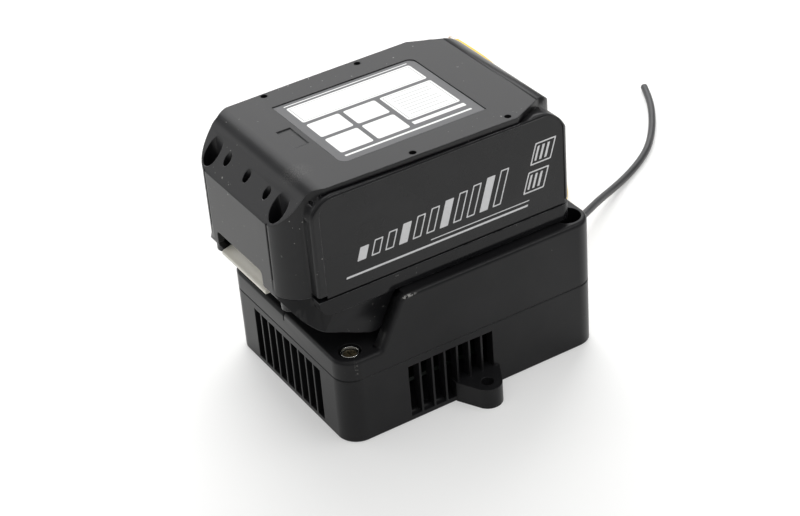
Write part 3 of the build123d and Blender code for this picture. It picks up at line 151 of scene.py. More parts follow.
class Finish:
    inputNames = {"colour": "Base Color", "roughness": "Roughness", "metallic": "Metallic",
                  "gloss": "Specular IOR Level", "normal": "Normal"}
    mixFactor, mixFirst, mixSecond, mixResult = 0, 6, 7, 2
    noiseRoughness = 0.55
    bevelSamples = 8
    # how far the broken edge's normal leans from the surface's own, from none to a full edge
    edgeLean = (0.015, 0.22)

    def __init__(self, name):
        self.material = bpy.data.materials.new(name)
        self.material.use_nodes = True
        self.tree = self.material.node_tree
        self.shader = self.tree.nodes["Principled BSDF"]
        self.place = self.tree.nodes.new("ShaderNodeTexCoord").outputs["Object"]

    def join(self, value, slot):
        if isinstance(value, Wire):
            self.tree.links.new(value.socket, slot)
        elif isinstance(value, bpy.types.NodeSocket):
            self.tree.links.new(value, slot)
        elif isinstance(value, tuple) and len(value) == 3:
            slot.default_value = (*value, 1)
        else:
            slot.default_value = value

    def add(self, kind, settings=None, inputs=None, out=0):
        node = self.tree.nodes.new(kind)
        for key, value in (settings or {}).items():
            setattr(node, key, value)
        for key, value in (inputs or {}).items():
            self.join(value, node.inputs[key])
        return Wire(self.tree, node.outputs[out])

    def axes(self):
        split = self.tree.nodes.new("ShaderNodeSeparateXYZ")
        self.tree.links.new(self.place, split.inputs[0])
        return [Wire(self.tree, output) for output in split.outputs]

    def noise(self, scale, detail=3.0):
        return self.add("ShaderNodeTexNoise", {}, {
            "Vector": self.place, "Scale": scale, "Detail": detail,
            "Roughness": self.noiseRoughness})

    def mix(self, factor, first, second):
        return self.add("ShaderNodeMix", {"data_type": "RGBA"}, {
            self.mixFactor: factor, self.mixFirst: first, self.mixSecond: second}, self.mixResult)

    def set(self, **values):
        for key, value in values.items():
            self.join(value, self.shader.inputs[self.inputNames[key]])

    def brokenEdge(self, width):
        # the normal that the surface would have with its edges broken, and where it differs
        broken = self.add("ShaderNodeBevel", {"samples": self.bevelSamples}, {"Radius": width})
        own = self.add("ShaderNodeNewGeometry", out="Normal")
        along = self.add("ShaderNodeVectorMath", {"operation": "DOT_PRODUCT"},
                         {0: broken, 1: own}, "Value")
        return broken, (1.0 - along).rise(*self.edgeLean)

    def bump(self, height, depth, strength, broken=None):
        sockets = {"Height": height, "Distance": depth, "Strength": strength}
        if broken:
            sockets["Normal"] = broken
        self.set(normal=self.add("ShaderNodeBump", {}, sockets))


# Spark-eroded plastic: fine grain, uneven sheen, a few pale specks of dust, rubbed places, and an
# edge colour on the broken edges that is partly wear and partly a painted highlight
plasticDefaults = {
    "cloudScale": 45, "cloudBand": (0.35, 0.7), "sheenSpread": 0.12, "gloss": 0.5,
    "grainScale": 2600, "grainStrength": 0.5, "grainDepth": 0.00003,
    "speckScale": 900, "speckFrom": 0.78, "speckSoftness": 0.03, "speckPatches": (0.45, 0.6),
    "speckColour": (0.42, 0.41, 0.39),
    "rubs": (), "rubColour": (0.34, 0.33, 0.31), "rubBand": (0.47, 0.56), "rubFade": (1.0, 0.4),
    "polished": (),
    "edge": None, "edgeSheen": 0.08, "wearScale": 160, "wearBand": (0.30, 0.62),
}


def mouldedPlastic(name, given):
    facts = {**plasticDefaults, **given}
    finish = Finish(name)
    axes = dict(zip("xyz", finish.axes()))
    cloud = finish.noise(facts["cloudScale"], detail=4)
    grain = finish.noise(facts["grainScale"], detail=2)
    fine = finish.noise(facts["speckScale"], detail=1)
    speckBand = (facts["speckFrom"], facts["speckFrom"] + facts["speckSoftness"])
    specks = fine.rise(*speckBand) * cloud.rise(*facts["speckPatches"])
    colour = finish.mix(cloud.rise(*facts["cloudBand"]), facts["colour"], facts["paler"])
    colour = finish.mix(specks * facts["dust"], colour, facts["speckColour"])
    roughness = cloud * facts["sheenSpread"] + facts["roughness"]
    for rub in facts["rubs"]:
        across, along, upward = (
            (axis - centre * mm) / (reach * mm)
            for axis, centre, reach in zip(axes.values(), rub["place"], rub["reach"]))
        away = (across * across + along * along + upward * upward) ** 0.5
        patch = away.rise(*facts["rubFade"]) * finish.noise(rub["scale"]).rise(*facts["rubBand"])
        colour = finish.mix(patch * rub["strength"], colour, rub.get("colour", facts["rubColour"]))
    for polished in facts["polished"]:
        outward = axes[polished["axis"]].size()
        shine = outward.rise(polished["from"] * mm, polished["to"] * mm)
        roughness = roughness - shine * polished["drop"]
    broken = None
    if facts["edge"]:
        broken, edge = finish.brokenEdge(facts["edge"] * mm)
        # on the dark housings the paler edge colour is a painted highlight along the broken edges,
        # broken into patches like wear; the button's darker edge colour is wear
        worn = edge * finish.noise(facts["wearScale"]).rise(*facts["wearBand"])
        colour = finish.mix(worn * facts["edgeWearAndHighlight"], colour, facts["edgeWearAndHighlightColour"])
        roughness = roughness - edge * facts["edgeSheen"]
    finish.set(colour=colour, roughness=roughness, gloss=facts["gloss"])
    finish.bump(grain, facts["grainDepth"], facts["grainStrength"], broken)
    return finish.material


# Turned, pressed or drawn metal with faint streaks and tarnish
metalDefaults = {
    "metallic": 1.0, "cloudScale": 260, "cloudBand": (0.42, 0.68), "sheenSpread": 0.18,
    "streakScale": 3200, "streakDepth": 0.00001, "streakStrength": 0.3,
}


def plainMetal(name, given):
    facts = {**metalDefaults, **given}
    finish = Finish(name)
    cloud = finish.noise(facts["cloudScale"], detail=4)
    streak = finish.noise(facts["streakScale"], detail=2)
    colour = finish.mix(cloud.rise(*facts["cloudBand"]), facts["colour"], facts["tarnish"])
    finish.set(colour=colour, metallic=facts["metallic"],
               roughness=cloud * facts["sheenSpread"] + facts["roughness"])
    finish.bump(streak, facts["streakDepth"], facts["streakStrength"])
    return finish.material


# Smooth lacquer, enamel or rubber with a slight orange peel
lacquerDefaults = {
    "cloudScale": 180, "cloudBand": (0.38, 0.66), "sheenSpread": 0.12,
    "peelScale": 900, "peelDepth": 0.00002, "peelStrength": 0.25,
}


def lacquered(name, given):
    facts = {**lacquerDefaults, **given}
    finish = Finish(name)
    cloud = finish.noise(facts["cloudScale"])
    colour = finish.mix(cloud.rise(*facts["cloudBand"]), facts["colour"], facts["paler"])
    finish.set(colour=colour, roughness=cloud * facts["sheenSpread"] + facts["roughness"])
    finish.bump(finish.noise(facts["peelScale"], detail=2), facts["peelDepth"],
                facts["peelStrength"])
    return finish.material


def inMetres(facts):
    return {key: value * mm for key, value in facts.items()}


def roundedPatch(x, y, patch, soft):
    # 1 inside a rectangle with rounded corners, given in millimetres
    facts = inMetres(patch)
    radius = facts["radius"]
    across = ((x - facts["x"]).size() - (facts["length"] / 2 - radius)).atLeast(0)
    along = ((y - facts["y"]).size() - (facts["width"] / 2 - radius)).atLeast(0)
    away = (across * across + along * along) ** 0.5
    return away.rise(radius + soft, radius - soft)


def shrunk(patch, line, **changes):
    return dict(patch, length=patch["length"] - 2 * line, width=patch["width"] - 2 * line,
                **changes)


# Stage: pale floor, even light from above, dimmer towards the horizon
stageFacts = {
    "floor": {"size": 8.0, "colour": (0.62, 0.62, 0.61), "roughness": 0.75, "gloss": 0.2,
              "glow": 0.36},
    "sky": {"top": (1.0, 1.0, 1.0), "low": (0.20, 0.20, 0.205), "strength": 0.62,
            "brightFrom": 0.75},
    "aim": (0, 0, 0.05),
    "lamps": [
        {"name": "backPanel", "place": (0.75, 1.25, 1.0), "size": (1.6, 1.0), "power": 21.0,
         "mirrored": False},
        {"name": "roofPanel", "place": (0.1, 0.35, 1.6), "size": (1.0, 1.0), "power": 6.0,
         "mirrored": True},
        {"name": "frontStrip", "place": (0.55, -0.75, 1.05), "size": (1.1, 0.10), "power": 2.6,
         "mirrored": True},
        {"name": "sidePanel", "place": (-0.95, 1.18, 0.62), "size": (1.0, 0.5), "power": 2.2,
         "mirrored": True},
        {"name": "backSheen", "place": (0.70, 1.20, 0.98), "size": (1.6, 1.0), "power": 8.5,
         "mirrored": True},
    ],
}


def makeFloor(facts):
    mesh = bmesh.new()
    bmesh.ops.create_grid(mesh, x_segments=1, y_segments=1, size=facts["size"] / 2)
    data = bpy.data.meshes.new("floorSheet")
    mesh.to_mesh(data)
    mesh.free()
    paper = Finish("floorPaper")
    paper.set(colour=facts["colour"], roughness=facts["roughness"], gloss=facts["gloss"])
    glow = paper.add("ShaderNodeEmission", {}, {"Color": (1, 1, 1), "Strength": facts["glow"]})
    # the glow is there for the camera and for reflections, not as light on the object
    seen, mirrored, through = (paper.add("ShaderNodeLightPath", out=ray) for ray in (
        "Is Camera Ray", "Is Glossy Ray", "Is Transmission Ray"))
    plain = paper.shader.outputs[0]
    both = paper.add("ShaderNodeAddShader", {}, {0: plain, 1: glow})
    shown = paper.add("ShaderNodeMixShader", {}, {
        0: seen.atLeast(mirrored).atLeast(through), 1: plain, 2: both})
    paper.join(shown, paper.tree.nodes["Material Output"].inputs["Surface"])
    data.materials.append(paper.material)
    show(bpy.data.objects.new("floorSheet", data))


def makeSky(facts):
    world = bpy.data.worlds.new("lightTent")
    bpy.context.scene.world = world
    world.use_nodes = True
    tree = world.node_tree
    aim = tree.nodes.new("ShaderNodeTexCoord")
    split = tree.nodes.new("ShaderNodeSeparateXYZ")
    tree.links.new(aim.outputs["Generated"], split.inputs[0])
    height = Wire(tree, split.outputs["Z"]).rise(0.0, facts["brightFrom"])
    blend = tree.nodes.new("ShaderNodeMix")
    blend.data_type = "RGBA"
    tree.links.new(height.socket, blend.inputs[Finish.mixFactor])
    blend.inputs[Finish.mixFirst].default_value = (*facts["low"], 1)
    blend.inputs[Finish.mixSecond].default_value = (*facts["top"], 1)
    background = tree.nodes["Background"]
    tree.links.new(blend.outputs[Finish.mixResult], background.inputs["Color"])
    background.inputs["Strength"].default_value = facts["strength"]


def makeLamp(facts, aim):
    lamp = bpy.data.lights.new(facts["name"], "AREA")
    lamp.energy = facts["power"]
    lamp.shape = "RECTANGLE"
    lamp.size, lamp.size_y = facts["size"]
    panel = show(bpy.data.objects.new(facts["name"], lamp))
    panel.location = facts["place"]
    panel.visible_glossy = facts["mirrored"]
    towards = Vector(aim) - Vector(facts["place"])
    panel.rotation_euler = towards.to_track_quat("-Z", "Y").to_euler()


makeFloor(stageFacts["floor"])
makeSky(stageFacts["sky"])
for lampFacts in stageFacts["lamps"]:
    makeLamp(lampFacts, stageFacts["aim"])
bpy.context.scene.view_settings.view_transform = "Standard"
print("stage ready")


# Free leads, by the same points as the solids
leadFacts = {
    "black_wire": {
        "node": "black_lead",
        "points": ((59.2, 6.0, 13.0), (70.0, 6.0, 13.0), (83.0, 12.0, 12.0), (96.0, 20.0, 9.5),
                   (109.0, 28.8, 6.2), (122.0, 36.4, 3.0), (135.0, 43.1, 1.6),
                   (147.0, 49.6, 1.6), (157.5, 57.3, 1.6), (168.0, 68.4, 1.6),
                   (177.0, 80.1, 1.6), (183.6, 90.6, 1.6), (188.3, 100.3, 1.6)),
        "radius": 1.6, "length": 0.166, "slot": "black_insulation", "with": [],
        "colour": (0.034, 0.034, 0.036), "paler": (0.05, 0.05, 0.052),
    },
    "yellow_wire": {
        "node": "yellow_lead",
        "points": ((59.2, 17.0, 13.0), (70.0, 17.0, 13.0), (82.0, 23.0, 11.8),
                   (92.0, 31.5, 9.0), (101.0, 42.0, 5.6), (109.0, 54.5, 2.6),
                   (116.5, 68.0, 1.6), (123.5, 84.0, 1.6), (130.0, 101.0, 1.6),
                   (136.0, 119.0, 1.6), (141.0, 137.0, 1.6), (144.6, 155.0, 1.6),
                   (146.8, 174.0, 1.6), (146.2, 193.0, 1.6)),
        "radius": 1.6, "length": 0.212, "slot": "yellow_insulation", "with": ["yellow_lead_tip"],
        "colour": (0.80, 0.52, 0.03), "paler": (0.86, 0.60, 0.06),
    },
}
leadSkin = {"roughness": 0.34, "grainScale": 900, "grainStrength": 0.15, "dust": 0.15,
            "cloudScale": 120}
leadRoundness = 8
leadFineness = 10


def makeLead(name, facts):
    curve = bpy.data.curves.new(name, "CURVE")
    curve.dimensions = "3D"
    curve.bevel_depth = facts["radius"] * mm
    curve.bevel_resolution = leadRoundness
    curve.use_fill_caps = True
    curve.resolution_u = leadFineness
    spline = curve.splines.new("NURBS")
    spline.points.add(len(facts["points"]) - 1)
    for point, place in zip(spline.points, facts["points"]):
        point.co = (place[0] * mm, place[1] * mm, place[2] * mm, 1)
    spline.order_u = 3
    spline.use_endpoint_u = True
    curve.materials.append(mouldedPlastic(name + "Skin", {
        **leadSkin, "colour": facts["colour"], "paler": facts["paler"]}))
    lead = show(bpy.data.objects.new(name, curve))
    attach(lead, "adapter")
    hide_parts(facts["node"])
    exitPoint = tuple(value * mm for value in facts["points"][0])


for leadName, lead in leadFacts.items():
    makeLead(leadName, lead)
print("leads ready")


def makePiece(name, mesh, material, body):
    data = bpy.data.meshes.new(name)
    mesh.to_mesh(data)
    mesh.free()
    data.materials.append(material)
    piece = show(bpy.data.objects.new(name, data))
    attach(piece, body)
    return piece


# Housings, button and springs: each solid's shape as one smooth skin with sharp edges
copyFacts = {"merge": 0.00002, "flatWithin": math.radians(0.04), "sharpFrom": math.radians(30),
             "flatWeight": 100}


def smoothCopy(node, name, body, material):
    mesh = bmesh.new()
    mesh.from_mesh(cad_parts[node].data)
    bmesh.ops.remove_doubles(mesh, verts=mesh.verts, dist=copyFacts["merge"])
    bmesh.ops.dissolve_limit(mesh, angle_limit=copyFacts["flatWithin"], verts=mesh.verts,
                             edges=mesh.edges)
    for face in mesh.faces:
        face.smooth = True
    piece = makePiece(name, mesh, material, body)
    piece.data.set_sharp_from_angle(angle=copyFacts["sharpFrom"])
    # flat faces keep their own normals, so roundings don't shade into them
    flatten = piece.modifiers.new("flatFaces", "WEIGHTED_NORMAL")
    flatten.mode = "FACE_AREA"
    flatten.weight = copyFacts["flatWeight"]
    flatten.keep_sharp = True
    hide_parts(node)
    return piece


adapterFacts = {
    "colour": (0.011, 0.011, 0.012), "paler": (0.015, 0.015, 0.016), "roughness": 0.27,
    "sheenSpread": 0.10, "grainScale": 2300, "grainStrength": 0.22, "dust": 0.16,
    # paler edge colour: a painted highlight along the broken edges, patched with wear
    "speckScale": 900, "edge": 0.35, "gloss": 0.20, "edgeWearAndHighlight": 0.45,
    "edgeWearAndHighlightColour": (0.09, 0.09, 0.092),
    "rubs": [
        {"place": (-49.2, -42.0, 32.5), "reach": (0.8, 2.5, 4.6), "strength": 0.30, "scale": 900},
        {"place": (-27.0, -42.2, 54.0), "reach": (5.5, 1.2, 0.9), "strength": 0.70, "scale": 900,
         "colour": (0.55, 0.54, 0.52)},
    ],
}
packFacts = {
    "colour": (0.010, 0.010, 0.011), "paler": (0.015, 0.015, 0.016), "roughness": 0.27,
    "sheenSpread": 0.10, "grainScale": 2600, "grainStrength": 0.3, "dust": 0.55,
    # paler edge colour: a painted highlight along the broken edges, patched with wear
    "speckScale": 700, "speckFrom": 0.735, "edge": 0.45, "gloss": 0.30, "edgeWearAndHighlight": 0.75,
    "edgeWearAndHighlightColour": (0.20, 0.20, 0.205),
    "rubs": [
        {"place": (-52.0, -20.0, 102.5), "reach": (8.0, 9.0, 3.0), "strength": 0.10, "scale": 2200},
        {"place": (34.0, -31.0, 101.5), "reach": (8.0, 5.0, 3.0), "strength": 0.08, "scale": 2200},
    ],
    "polished": [{"axis": "y", "from": 36.9, "to": 37.3, "drop": 0.20}],
}
railFacts = dict(packFacts, colour=(0.008, 0.008, 0.009), paler=(0.012, 0.012, 0.013), gloss=0.22,
                 rubs=(), dust=0.25)
adapterSkin = mouldedPlastic("adapterHousingPlastic", adapterFacts)
packSkin = mouldedPlastic("packHousingPlastic", packFacts)
railSkin = mouldedPlastic("railHousingPlastic", railFacts)
smoothCopy("base_shell", "lower_housing", "adapter", adapterSkin)
smoothCopy("top_shell", "upper_housing", "adapter", adapterSkin)
smoothCopy("battery_case", "battery_housing", "battery", packSkin)
smoothCopy("rail_cover", "battery_rail_housing", "battery", railSkin)


# A curved strip just under the rounded front corner of each cheek, closing the gap behind it
webFacts = {"centre": (-49.1, 0.0, 92.9), "radius": 9.42, "thickness": 1.3, "y": (31.0, 36.0),
            "from": math.radians(20.0), "to": math.radians(70.0), "steps": 10}


def cornerWebs(name, facts, material):
    mesh = bmesh.new()
    outer = facts["radius"] * mm
    inner = (facts["radius"] - facts["thickness"]) * mm
    for side in (1, -1):
        near, far = (side * y * mm for y in facts["y"])
        corners = [mesh.verts.new((0, y, z)) for y, z in (
            (near, outer), (far, outer), (far, inner), (near, inner))]
        section = mesh.faces.new(corners)
        start = Matrix.Rotation(-facts["from"], 3, "Y")
        bmesh.ops.rotate(mesh, verts=corners, cent=(0, 0, 0), matrix=start)
        bmesh.ops.spin(mesh, geom=[section], cent=(0, 0, 0), axis=(0, 1, 0),
                       steps=facts["steps"], angle=facts["from"] - facts["to"],
                       use_duplicate=False)
    bmesh.ops.translate(mesh, verts=mesh.verts, vec=Vector(facts["centre"]) * mm)
    bmesh.ops.remove_doubles(mesh, verts=mesh.verts, dist=mergeDistance)
    bmesh.ops.recalc_face_normals(mesh, faces=mesh.faces)
    makePiece(name, mesh, material, "battery")


cornerWebs("cheek_corner_webs", webFacts, packSkin)
print("housings ready")


def dress(nodeNames, material):
    for nodeName in nodeNames:
        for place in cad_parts[nodeName].material_slots:
            place.material = material


# Label: grey sheet with blank white panels and ruled lines, in the label's own recess
labelFacts = {
    "sheet": (0.064, 0.065, 0.069), "paler": (0.078, 0.079, 0.083), "white": (0.78, 0.78, 0.77),
    "panels": [
        {"x": -8.2, "y": 14.6, "length": 52.0, "width": 12.6, "radius": 0.9},
        {"x": -27.6, "y": 0.9, "length": 13.2, "width": 11.0, "radius": 0.9},
        {"x": -12.6, "y": 0.9, "length": 13.2, "width": 11.0, "radius": 0.9},
        {"x": -27.6, "y": -12.3, "length": 13.2, "width": 11.6, "radius": 0.9},
        {"x": -12.6, "y": -12.3, "length": 13.2, "width": 11.6, "radius": 0.9},
        {"x": 6.9, "y": -3.6, "length": 21.8, "width": 20.0, "radius": 0.9},
    ],
    "bars": [
        {"x": 6.9, "y": -16.4, "length": 21.8, "width": 2.2, "radius": 0.4},
        {"x": -8.2, "y": -20.6, "length": 52.0, "width": 1.0, "radius": 0.3},
        {"x": -8.2, "y": 22.4, "length": 52.0, "width": 0.5, "radius": 0.2},
    ],
    "frames": [
        {"x": -8.2, "y": 14.6, "length": 50.4, "width": 11.0, "radius": 0.5},
        {"x": 6.9, "y": -3.6, "length": 20.2, "width": 18.4, "radius": 0.5},
    ],
    "frameLine": 0.25, "innerRadius": 0.25,
    "rules": {"x": 6.9, "y": 3.0, "length": 16.0, "width": 0.35, "pitch": 2.2, "count": 7,
              "short": 0.82, "shortEvery": 3},
    "ink": (0.16, 0.16, 0.17), "ruleInk": 0.7, "frameInk": 0.8,
    "panelBlur": 0.00006, "lineBlur": 0.00005,
    "cloudScale": 70, "cloudBand": (0.35, 0.7), "scuffScale": 520, "scuffBand": (0.60, 0.72),
    "scuffLoss": 0.12, "roughness": 0.30, "sheenSpread": 0.12,
    "grainScale": 1900, "grainDepth": 0.00001, "grainStrength": 0.3,
}


def ruleLines(rules):
    for index in range(rules["count"]):
        last = index % rules["shortEvery"] == rules["shortEvery"] - 1
        shorter = rules["short"] if last else 1.0
        yield {"x": rules["x"] - rules["length"] * (1 - shorter) / 2,
               "y": rules["y"] - index * rules["pitch"], "length": rules["length"] * shorter,
               "width": rules["width"], "radius": rules["width"] / 3}


def labelSheet(facts):
    finish = Finish("labelSheet")
    x, y, _ = finish.axes()
    cloud = finish.noise(facts["cloudScale"])
    colour = finish.mix(cloud.rise(*facts["cloudBand"]), facts["sheet"], facts["paler"])
    white = 0.0
    for panel in facts["panels"] + facts["bars"]:
        white = roundedPatch(x, y, panel, facts["panelBlur"]) + white
    scuff = finish.noise(facts["scuffScale"], detail=4).rise(*facts["scuffBand"])
    kept = 1.0 - scuff * facts["scuffLoss"]
    colour = finish.mix(white.atMost(1.0) * kept, colour, facts["white"])
    ruled = 0.0
    for rule in ruleLines(facts["rules"]):
        ruled = roundedPatch(x, y, rule, facts["lineBlur"]) + ruled
    colour = finish.mix(ruled.atMost(1.0) * facts["ruleInk"], colour, facts["ink"])
    for ring in facts["frames"]:
        outer = roundedPatch(x, y, ring, facts["lineBlur"])
        inner = shrunk(ring, facts["frameLine"], radius=facts["innerRadius"])
        hollow = roundedPatch(x, y, inner, facts["lineBlur"])
        colour = finish.mix((outer - hollow).atLeast(0.0) * facts["frameInk"], colour, facts["ink"])
    finish.set(colour=colour, roughness=cloud * facts["sheenSpread"] + facts["roughness"])
    finish.bump(finish.noise(facts["grainScale"], detail=2), facts["grainDepth"],
                facts["grainStrength"])
    return finish.material


# Side films: near-black gloss with a silver print of slanted bars, striped blocks and pin stripes
filmFacts = {
    "colour": (0.009, 0.009, 0.010), "paler": (0.013, 0.013, 0.014), "silver": (0.72, 0.72, 0.73),
    "lean": 0.32, "uprightAt": 0.080,
    "bars": {"x": -38.0, "foot": 72.4, "count": 11, "pitch": 5.6, "width": 3.5, "height": 5.2,
             "growth": 0.85, "radius": 0.3, "line": 0.5, "filledEvery": 3},
    "blocks": [
        {"x": 34.0, "y": 76.6, "length": 9.0, "width": 8.4, "radius": 0.4},
        {"x": 34.0, "y": 87.4, "length": 9.0, "width": 8.4, "radius": 0.4},
    ],
    "blockLine": 0.55,
    "stripes": {"pitch": 2.2, "share": 0.45, "softness": 0.03, "inset": 1.4},
    "pinStripes": [
        {"x": -5.0, "y": 67.4, "length": 76.0, "width": 0.8, "radius": 0.3},
        {"x": 12.0, "y": 69.3, "length": 42.0, "width": 0.4, "radius": 0.15},
    ],
    "blur": 0.00006,
    "cloudScale": 60, "cloudBand": (0.35, 0.7), "wearScale": 700, "wearBand": (0.66, 0.74),
    "wearLoss": 0.5, "roughness": 0.20, "sheenSpread": 0.10, "printRoughness": 0.15,
    "printMetallic": 0.25, "gloss": 0.30,
    "grainScale": 1500, "grainDepth": 0.00001, "grainStrength": 0.2,
}


def risingBars(row):
    for index in range(row["count"]):
        tall = row["height"] + index * row["growth"]
        bar = {"x": row["x"] + index * row["pitch"], "y": row["foot"] + tall / 2,
               "length": row["width"], "width": tall, "radius": row["radius"]}
        yield bar, index % row["filledEvery"] == 0


def filmSheet(facts):
    finish = Finish("sideFilm")
    x, _, z = finish.axes()
    cloud = finish.noise(facts["cloudScale"])
    across = x - (z - facts["uprightAt"]) * facts["lean"]

    def patch(shape):
        return roundedPatch(across, z, shape, facts["blur"])

    def outlined(shape, line):
        return (patch(shape) - patch(shrunk(shape, line))).atLeast(0.0)

    colour = finish.mix(cloud.rise(*facts["cloudBand"]), facts["colour"], facts["paler"])
    printed = 0.0
    for bar, filled in risingBars(facts["bars"]):
        printed = (patch(bar) if filled else outlined(bar, facts["bars"]["line"])) + printed
    stripes = facts["stripes"]
    share, softness = stripes["share"], stripes["softness"]
    teeth = (across / (stripes["pitch"] * mm)).fraction().rise(share + softness, share - softness)
    for block in facts["blocks"]:
        inside = patch(shrunk(block, stripes["inset"]))
        printed = outlined(block, facts["blockLine"]) + inside * teeth + printed
    for stripe in facts["pinStripes"]:
        printed = patch(stripe) + printed
    worn = finish.noise(facts["wearScale"], detail=4).rise(*facts["wearBand"])
    printed = printed.atMost(1.0) * (1.0 - worn * facts["wearLoss"])
    roughness = cloud * facts["sheenSpread"] + facts["roughness"]
    finish.set(colour=finish.mix(printed, colour, facts["silver"]),
               roughness=roughness + printed * facts["printRoughness"],
               metallic=printed * facts["printMetallic"], gloss=facts["gloss"])
    finish.bump(finish.noise(facts["grainScale"], detail=2), facts["grainDepth"],
                facts["grainStrength"])
    return finish.material


dress(("label_plate",), labelSheet(labelFacts))
dress(("side_film_near", "side_film_far"), filmSheet(filmFacts))
print("label and films ready")


# Release button: ivory, worn along its lip
buttonFacts = {
    "colour": (0.84, 0.81, 0.71), "paler": (0.88, 0.86, 0.78), "roughness": 0.34,
    "sheenSpread": 0.08, "grainScale": 1800, "grainStrength": 0.15, "dust": 0.0, "edge": 0.3,
    "edgeWearAndHighlight": 0.5, "edgeWearAndHighlightColour": (0.55, 0.52, 0.44),
}
smoothCopy("release_button", "button_moulding", "latch",
           mouldedPlastic("buttonPlastic", buttonFacts))
print("button ready")


# Box screws: bright towards the edge, a painted highlight of the lit rim on brighter, smoother
# metal; stained middle; at the box's four corners
screwFacts = {
    "place": (47.4, 34.6), "brightFrom": 2.45, "brightTo": 2.75, "bright": (0.86, 0.86, 0.84),
    "stain": (0.20, 0.165, 0.095), "deeper": (0.075, 0.062, 0.04),
    "stainScale": 1300, "stainBand": (0.42, 0.60),
    "metallic": 0.6, "brightMetallic": 0.35, "roughness": 0.42, "brightSheen": 0.24,
    "grainScale": 2600, "grainDepth": 0.00001, "grainStrength": 0.3,
}


def screwHead(facts):
    finish = Finish("boxScrewSteel")
    across, along = (axis.size() - place * mm
                     for axis, place in zip(finish.axes(), facts["place"]))
    away = (across * across + along * along) ** 0.5
    # the bright rim colour is a painted highlight where the rim catches the light
    rim = away.rise(facts["brightFrom"] * mm, facts["brightTo"] * mm)
    patches = finish.noise(facts["stainScale"]).rise(*facts["stainBand"])
    stained = finish.mix(patches, facts["stain"], facts["deeper"])
    finish.set(colour=finish.mix(rim, stained, facts["bright"]),
               metallic=rim * facts["brightMetallic"] + facts["metallic"],
               roughness=facts["roughness"] - rim * facts["brightSheen"])
    finish.bump(finish.noise(facts["grainScale"], detail=2), facts["grainDepth"],
                facts["grainStrength"])
    return finish.material


dress(("shell_screws",), screwHead(screwFacts))


# The raised bright rim of the two front screw heads, as turned rings
collarFacts = {
    "place": (-47.4, 34.6), "radius": 3.38, "wall": 0.30, "low": 33.6, "high": 35.0, "steps": 32,
    "steel": {"colour": (0.88, 0.88, 0.86), "tarnish": (0.70, 0.69, 0.66), "roughness": 0.12},
}


def screwCollars(name, facts):
    mesh = bmesh.new()
    x, y = (value * mm for value in facts["place"])
    radius, wall, low, high = (facts[key] * mm for key in ("radius", "wall", "low", "high"))
    outline = ((radius - wall, low), (radius, low), (radius, high - wall / 2),
               (radius - wall / 3, high), (radius - wall * 2 / 3, high),
               (radius - wall, high - wall / 2))
    for side in (1, -1):
        corners = [mesh.verts.new((x + reach, side * y, height)) for reach, height in outline]
        loop = [mesh.edges.new((corners[i - 1], corners[i])) for i in range(len(corners))]
        bmesh.ops.spin(mesh, geom=corners + loop, cent=(x, side * y, 0), axis=(0, 0, 1),
                       angle=math.radians(360), steps=facts["steps"], use_merge=True,
                       use_duplicate=False)
    bmesh.ops.remove_doubles(mesh, verts=mesh.verts, dist=mergeDistance)
    bmesh.ops.recalc_face_normals(mesh, faces=mesh.faces)
    for face in mesh.faces:
        face.smooth = True
    makePiece(name, mesh, plainMetal("rimSteel", facts["steel"]), "adapter")


screwCollars("screw_head_rims", collarFacts)


# The latch's return springs, as one smooth skin with a mesh of its own
springFacts = {"node": "latch_springs", "travel": 0.004, "colour": (0.58, 0.58, 0.58),
               "tarnish": (0.40, 0.40, 0.41), "roughness": 0.24}
coils = smoothCopy(springFacts["node"], "latch_spring_coils", "battery",
                   plainMetal("springWire", springFacts))
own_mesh(coils)


# Small parts, each in its own finish
metals = {
    ("case_screws",): {
        "name": "packScrewSteel", "colour": (0.30, 0.29, 0.28), "tarnish": (0.16, 0.15, 0.14),
        "roughness": 0.28},
    ("board_screws",): {
        "name": "boardScrewZinc", "colour": (0.60, 0.61, 0.63), "tarnish": (0.40, 0.41, 0.42),
        "roughness": 0.30},
    ("positive_blade", "negative_blade"): {
        "name": "bladeBrass", "colour": (0.72, 0.58, 0.30), "tarnish": (0.50, 0.38, 0.18),
        "roughness": 0.26},
    ("positive_clip", "negative_clip"): {
        "name": "clipBronze", "colour": (0.66, 0.48, 0.28), "tarnish": (0.46, 0.32, 0.17),
        "roughness": 0.30},
    ("nickel_strips",): {
        "name": "stripNickel", "colour": (0.66, 0.65, 0.61), "tarnish": (0.50, 0.49, 0.45),
        "roughness": 0.28},
    ("yellow_lead_tip",): {
        "name": "tinnedStrands", "colour": (0.70, 0.68, 0.64), "tarnish": (0.58, 0.42, 0.28),
        "roughness": 0.34, "streakScale": 5200},
    ("heat_sink",): {
        "name": "sinkAluminium", "colour": (0.10, 0.10, 0.105), "tarnish": (0.16, 0.16, 0.165),
        "roughness": 0.40, "metallic": 0.7},
}
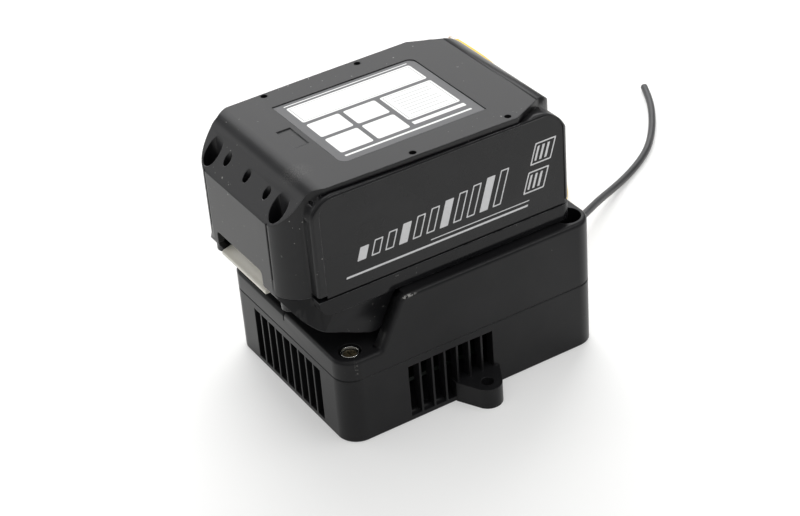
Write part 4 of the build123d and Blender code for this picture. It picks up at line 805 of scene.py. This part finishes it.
lacquers = {
    ("converter_board", "protection_board"): {
        "name": "boardLacquer", "colour": (0.003, 0.007, 0.004), "paler": (0.004, 0.010, 0.006),
        "roughness": 0.30},
    ("black_lead_grommet", "yellow_lead_grommet"): {
        "name": "grommetRubber", "colour": (0.014, 0.014, 0.014), "paler": (0.022, 0.022, 0.022),
        "roughness": 0.52},
    ("inductor_core",): {
        "name": "ferrite", "colour": (0.030, 0.029, 0.028), "paler": (0.045, 0.043, 0.041),
        "roughness": 0.50},
    ("inductor_winding",): {
        "name": "windingEnamel", "colour": (0.36, 0.13, 0.045), "paler": (0.46, 0.19, 0.07),
        "roughness": 0.24},
    ("input_capacitor", "output_capacitor"): {
        "name": "capacitorSleeve", "colour": (0.010, 0.014, 0.030), "paler": (0.016, 0.021, 0.042),
        "roughness": 0.30},
    ("power_transistors",): {
        "name": "transistorEpoxy", "colour": (0.016, 0.016, 0.016), "paler": (0.024, 0.024, 0.024),
        "roughness": 0.46},
    ("black_inner_lead", "negative_wire"): {
        "name": "blackInnerSkin", "colour": (0.014, 0.014, 0.014), "paler": (0.022, 0.022, 0.022),
        "roughness": 0.40},
    ("yellow_inner_lead",): {
        "name": "yellowInnerSkin", "colour": (0.76, 0.50, 0.03), "paler": (0.82, 0.58, 0.06),
        "roughness": 0.36},
    ("positive_wire",): {
        "name": "redInnerSkin", "colour": (0.50, 0.022, 0.014), "paler": (0.60, 0.04, 0.024),
        "roughness": 0.38},
    ("fuse",): {
        "name": "fuseBody", "colour": (0.50, 0.22, 0.02), "paler": (0.62, 0.30, 0.04),
        "roughness": 0.20},
    ("cells_upper_row", "cells_lower_row"): {
        "name": "cellSleeve", "colour": (0.03, 0.20, 0.22), "paler": (0.05, 0.27, 0.29),
        "roughness": 0.26},
}
mouldings = {
    ("terminal_block",): {
        "name": "terminalNylon", "colour": (0.012, 0.012, 0.012), "paler": (0.02, 0.02, 0.02),
        "roughness": 0.44, "dust": 0.1},
    ("fuse_holder",): {
        "name": "fuseHolderNylon", "colour": (0.03, 0.03, 0.03), "paler": (0.04, 0.04, 0.04),
        "roughness": 0.44, "dust": 0.1},
    ("output_terminals",): {
        "name": "terminalGreenNylon", "colour": (0.02, 0.16, 0.07), "paler": (0.03, 0.20, 0.09),
        "roughness": 0.40, "dust": 0.1},
    ("cell_holder_near", "cell_holder_far"): {
        "name": "holderPlastic", "colour": (0.05, 0.05, 0.052), "paler": (0.07, 0.07, 0.072),
        "roughness": 0.44, "dust": 0.1},
}
families = ((metals, plainMetal), (lacquers, lacquered), (mouldings, mouldedPlastic))
for family, makeFinish in families:
    for nodeNames, facts in family.items():
        dress(nodeNames, makeFinish(facts["name"], facts))
print("small parts ready")
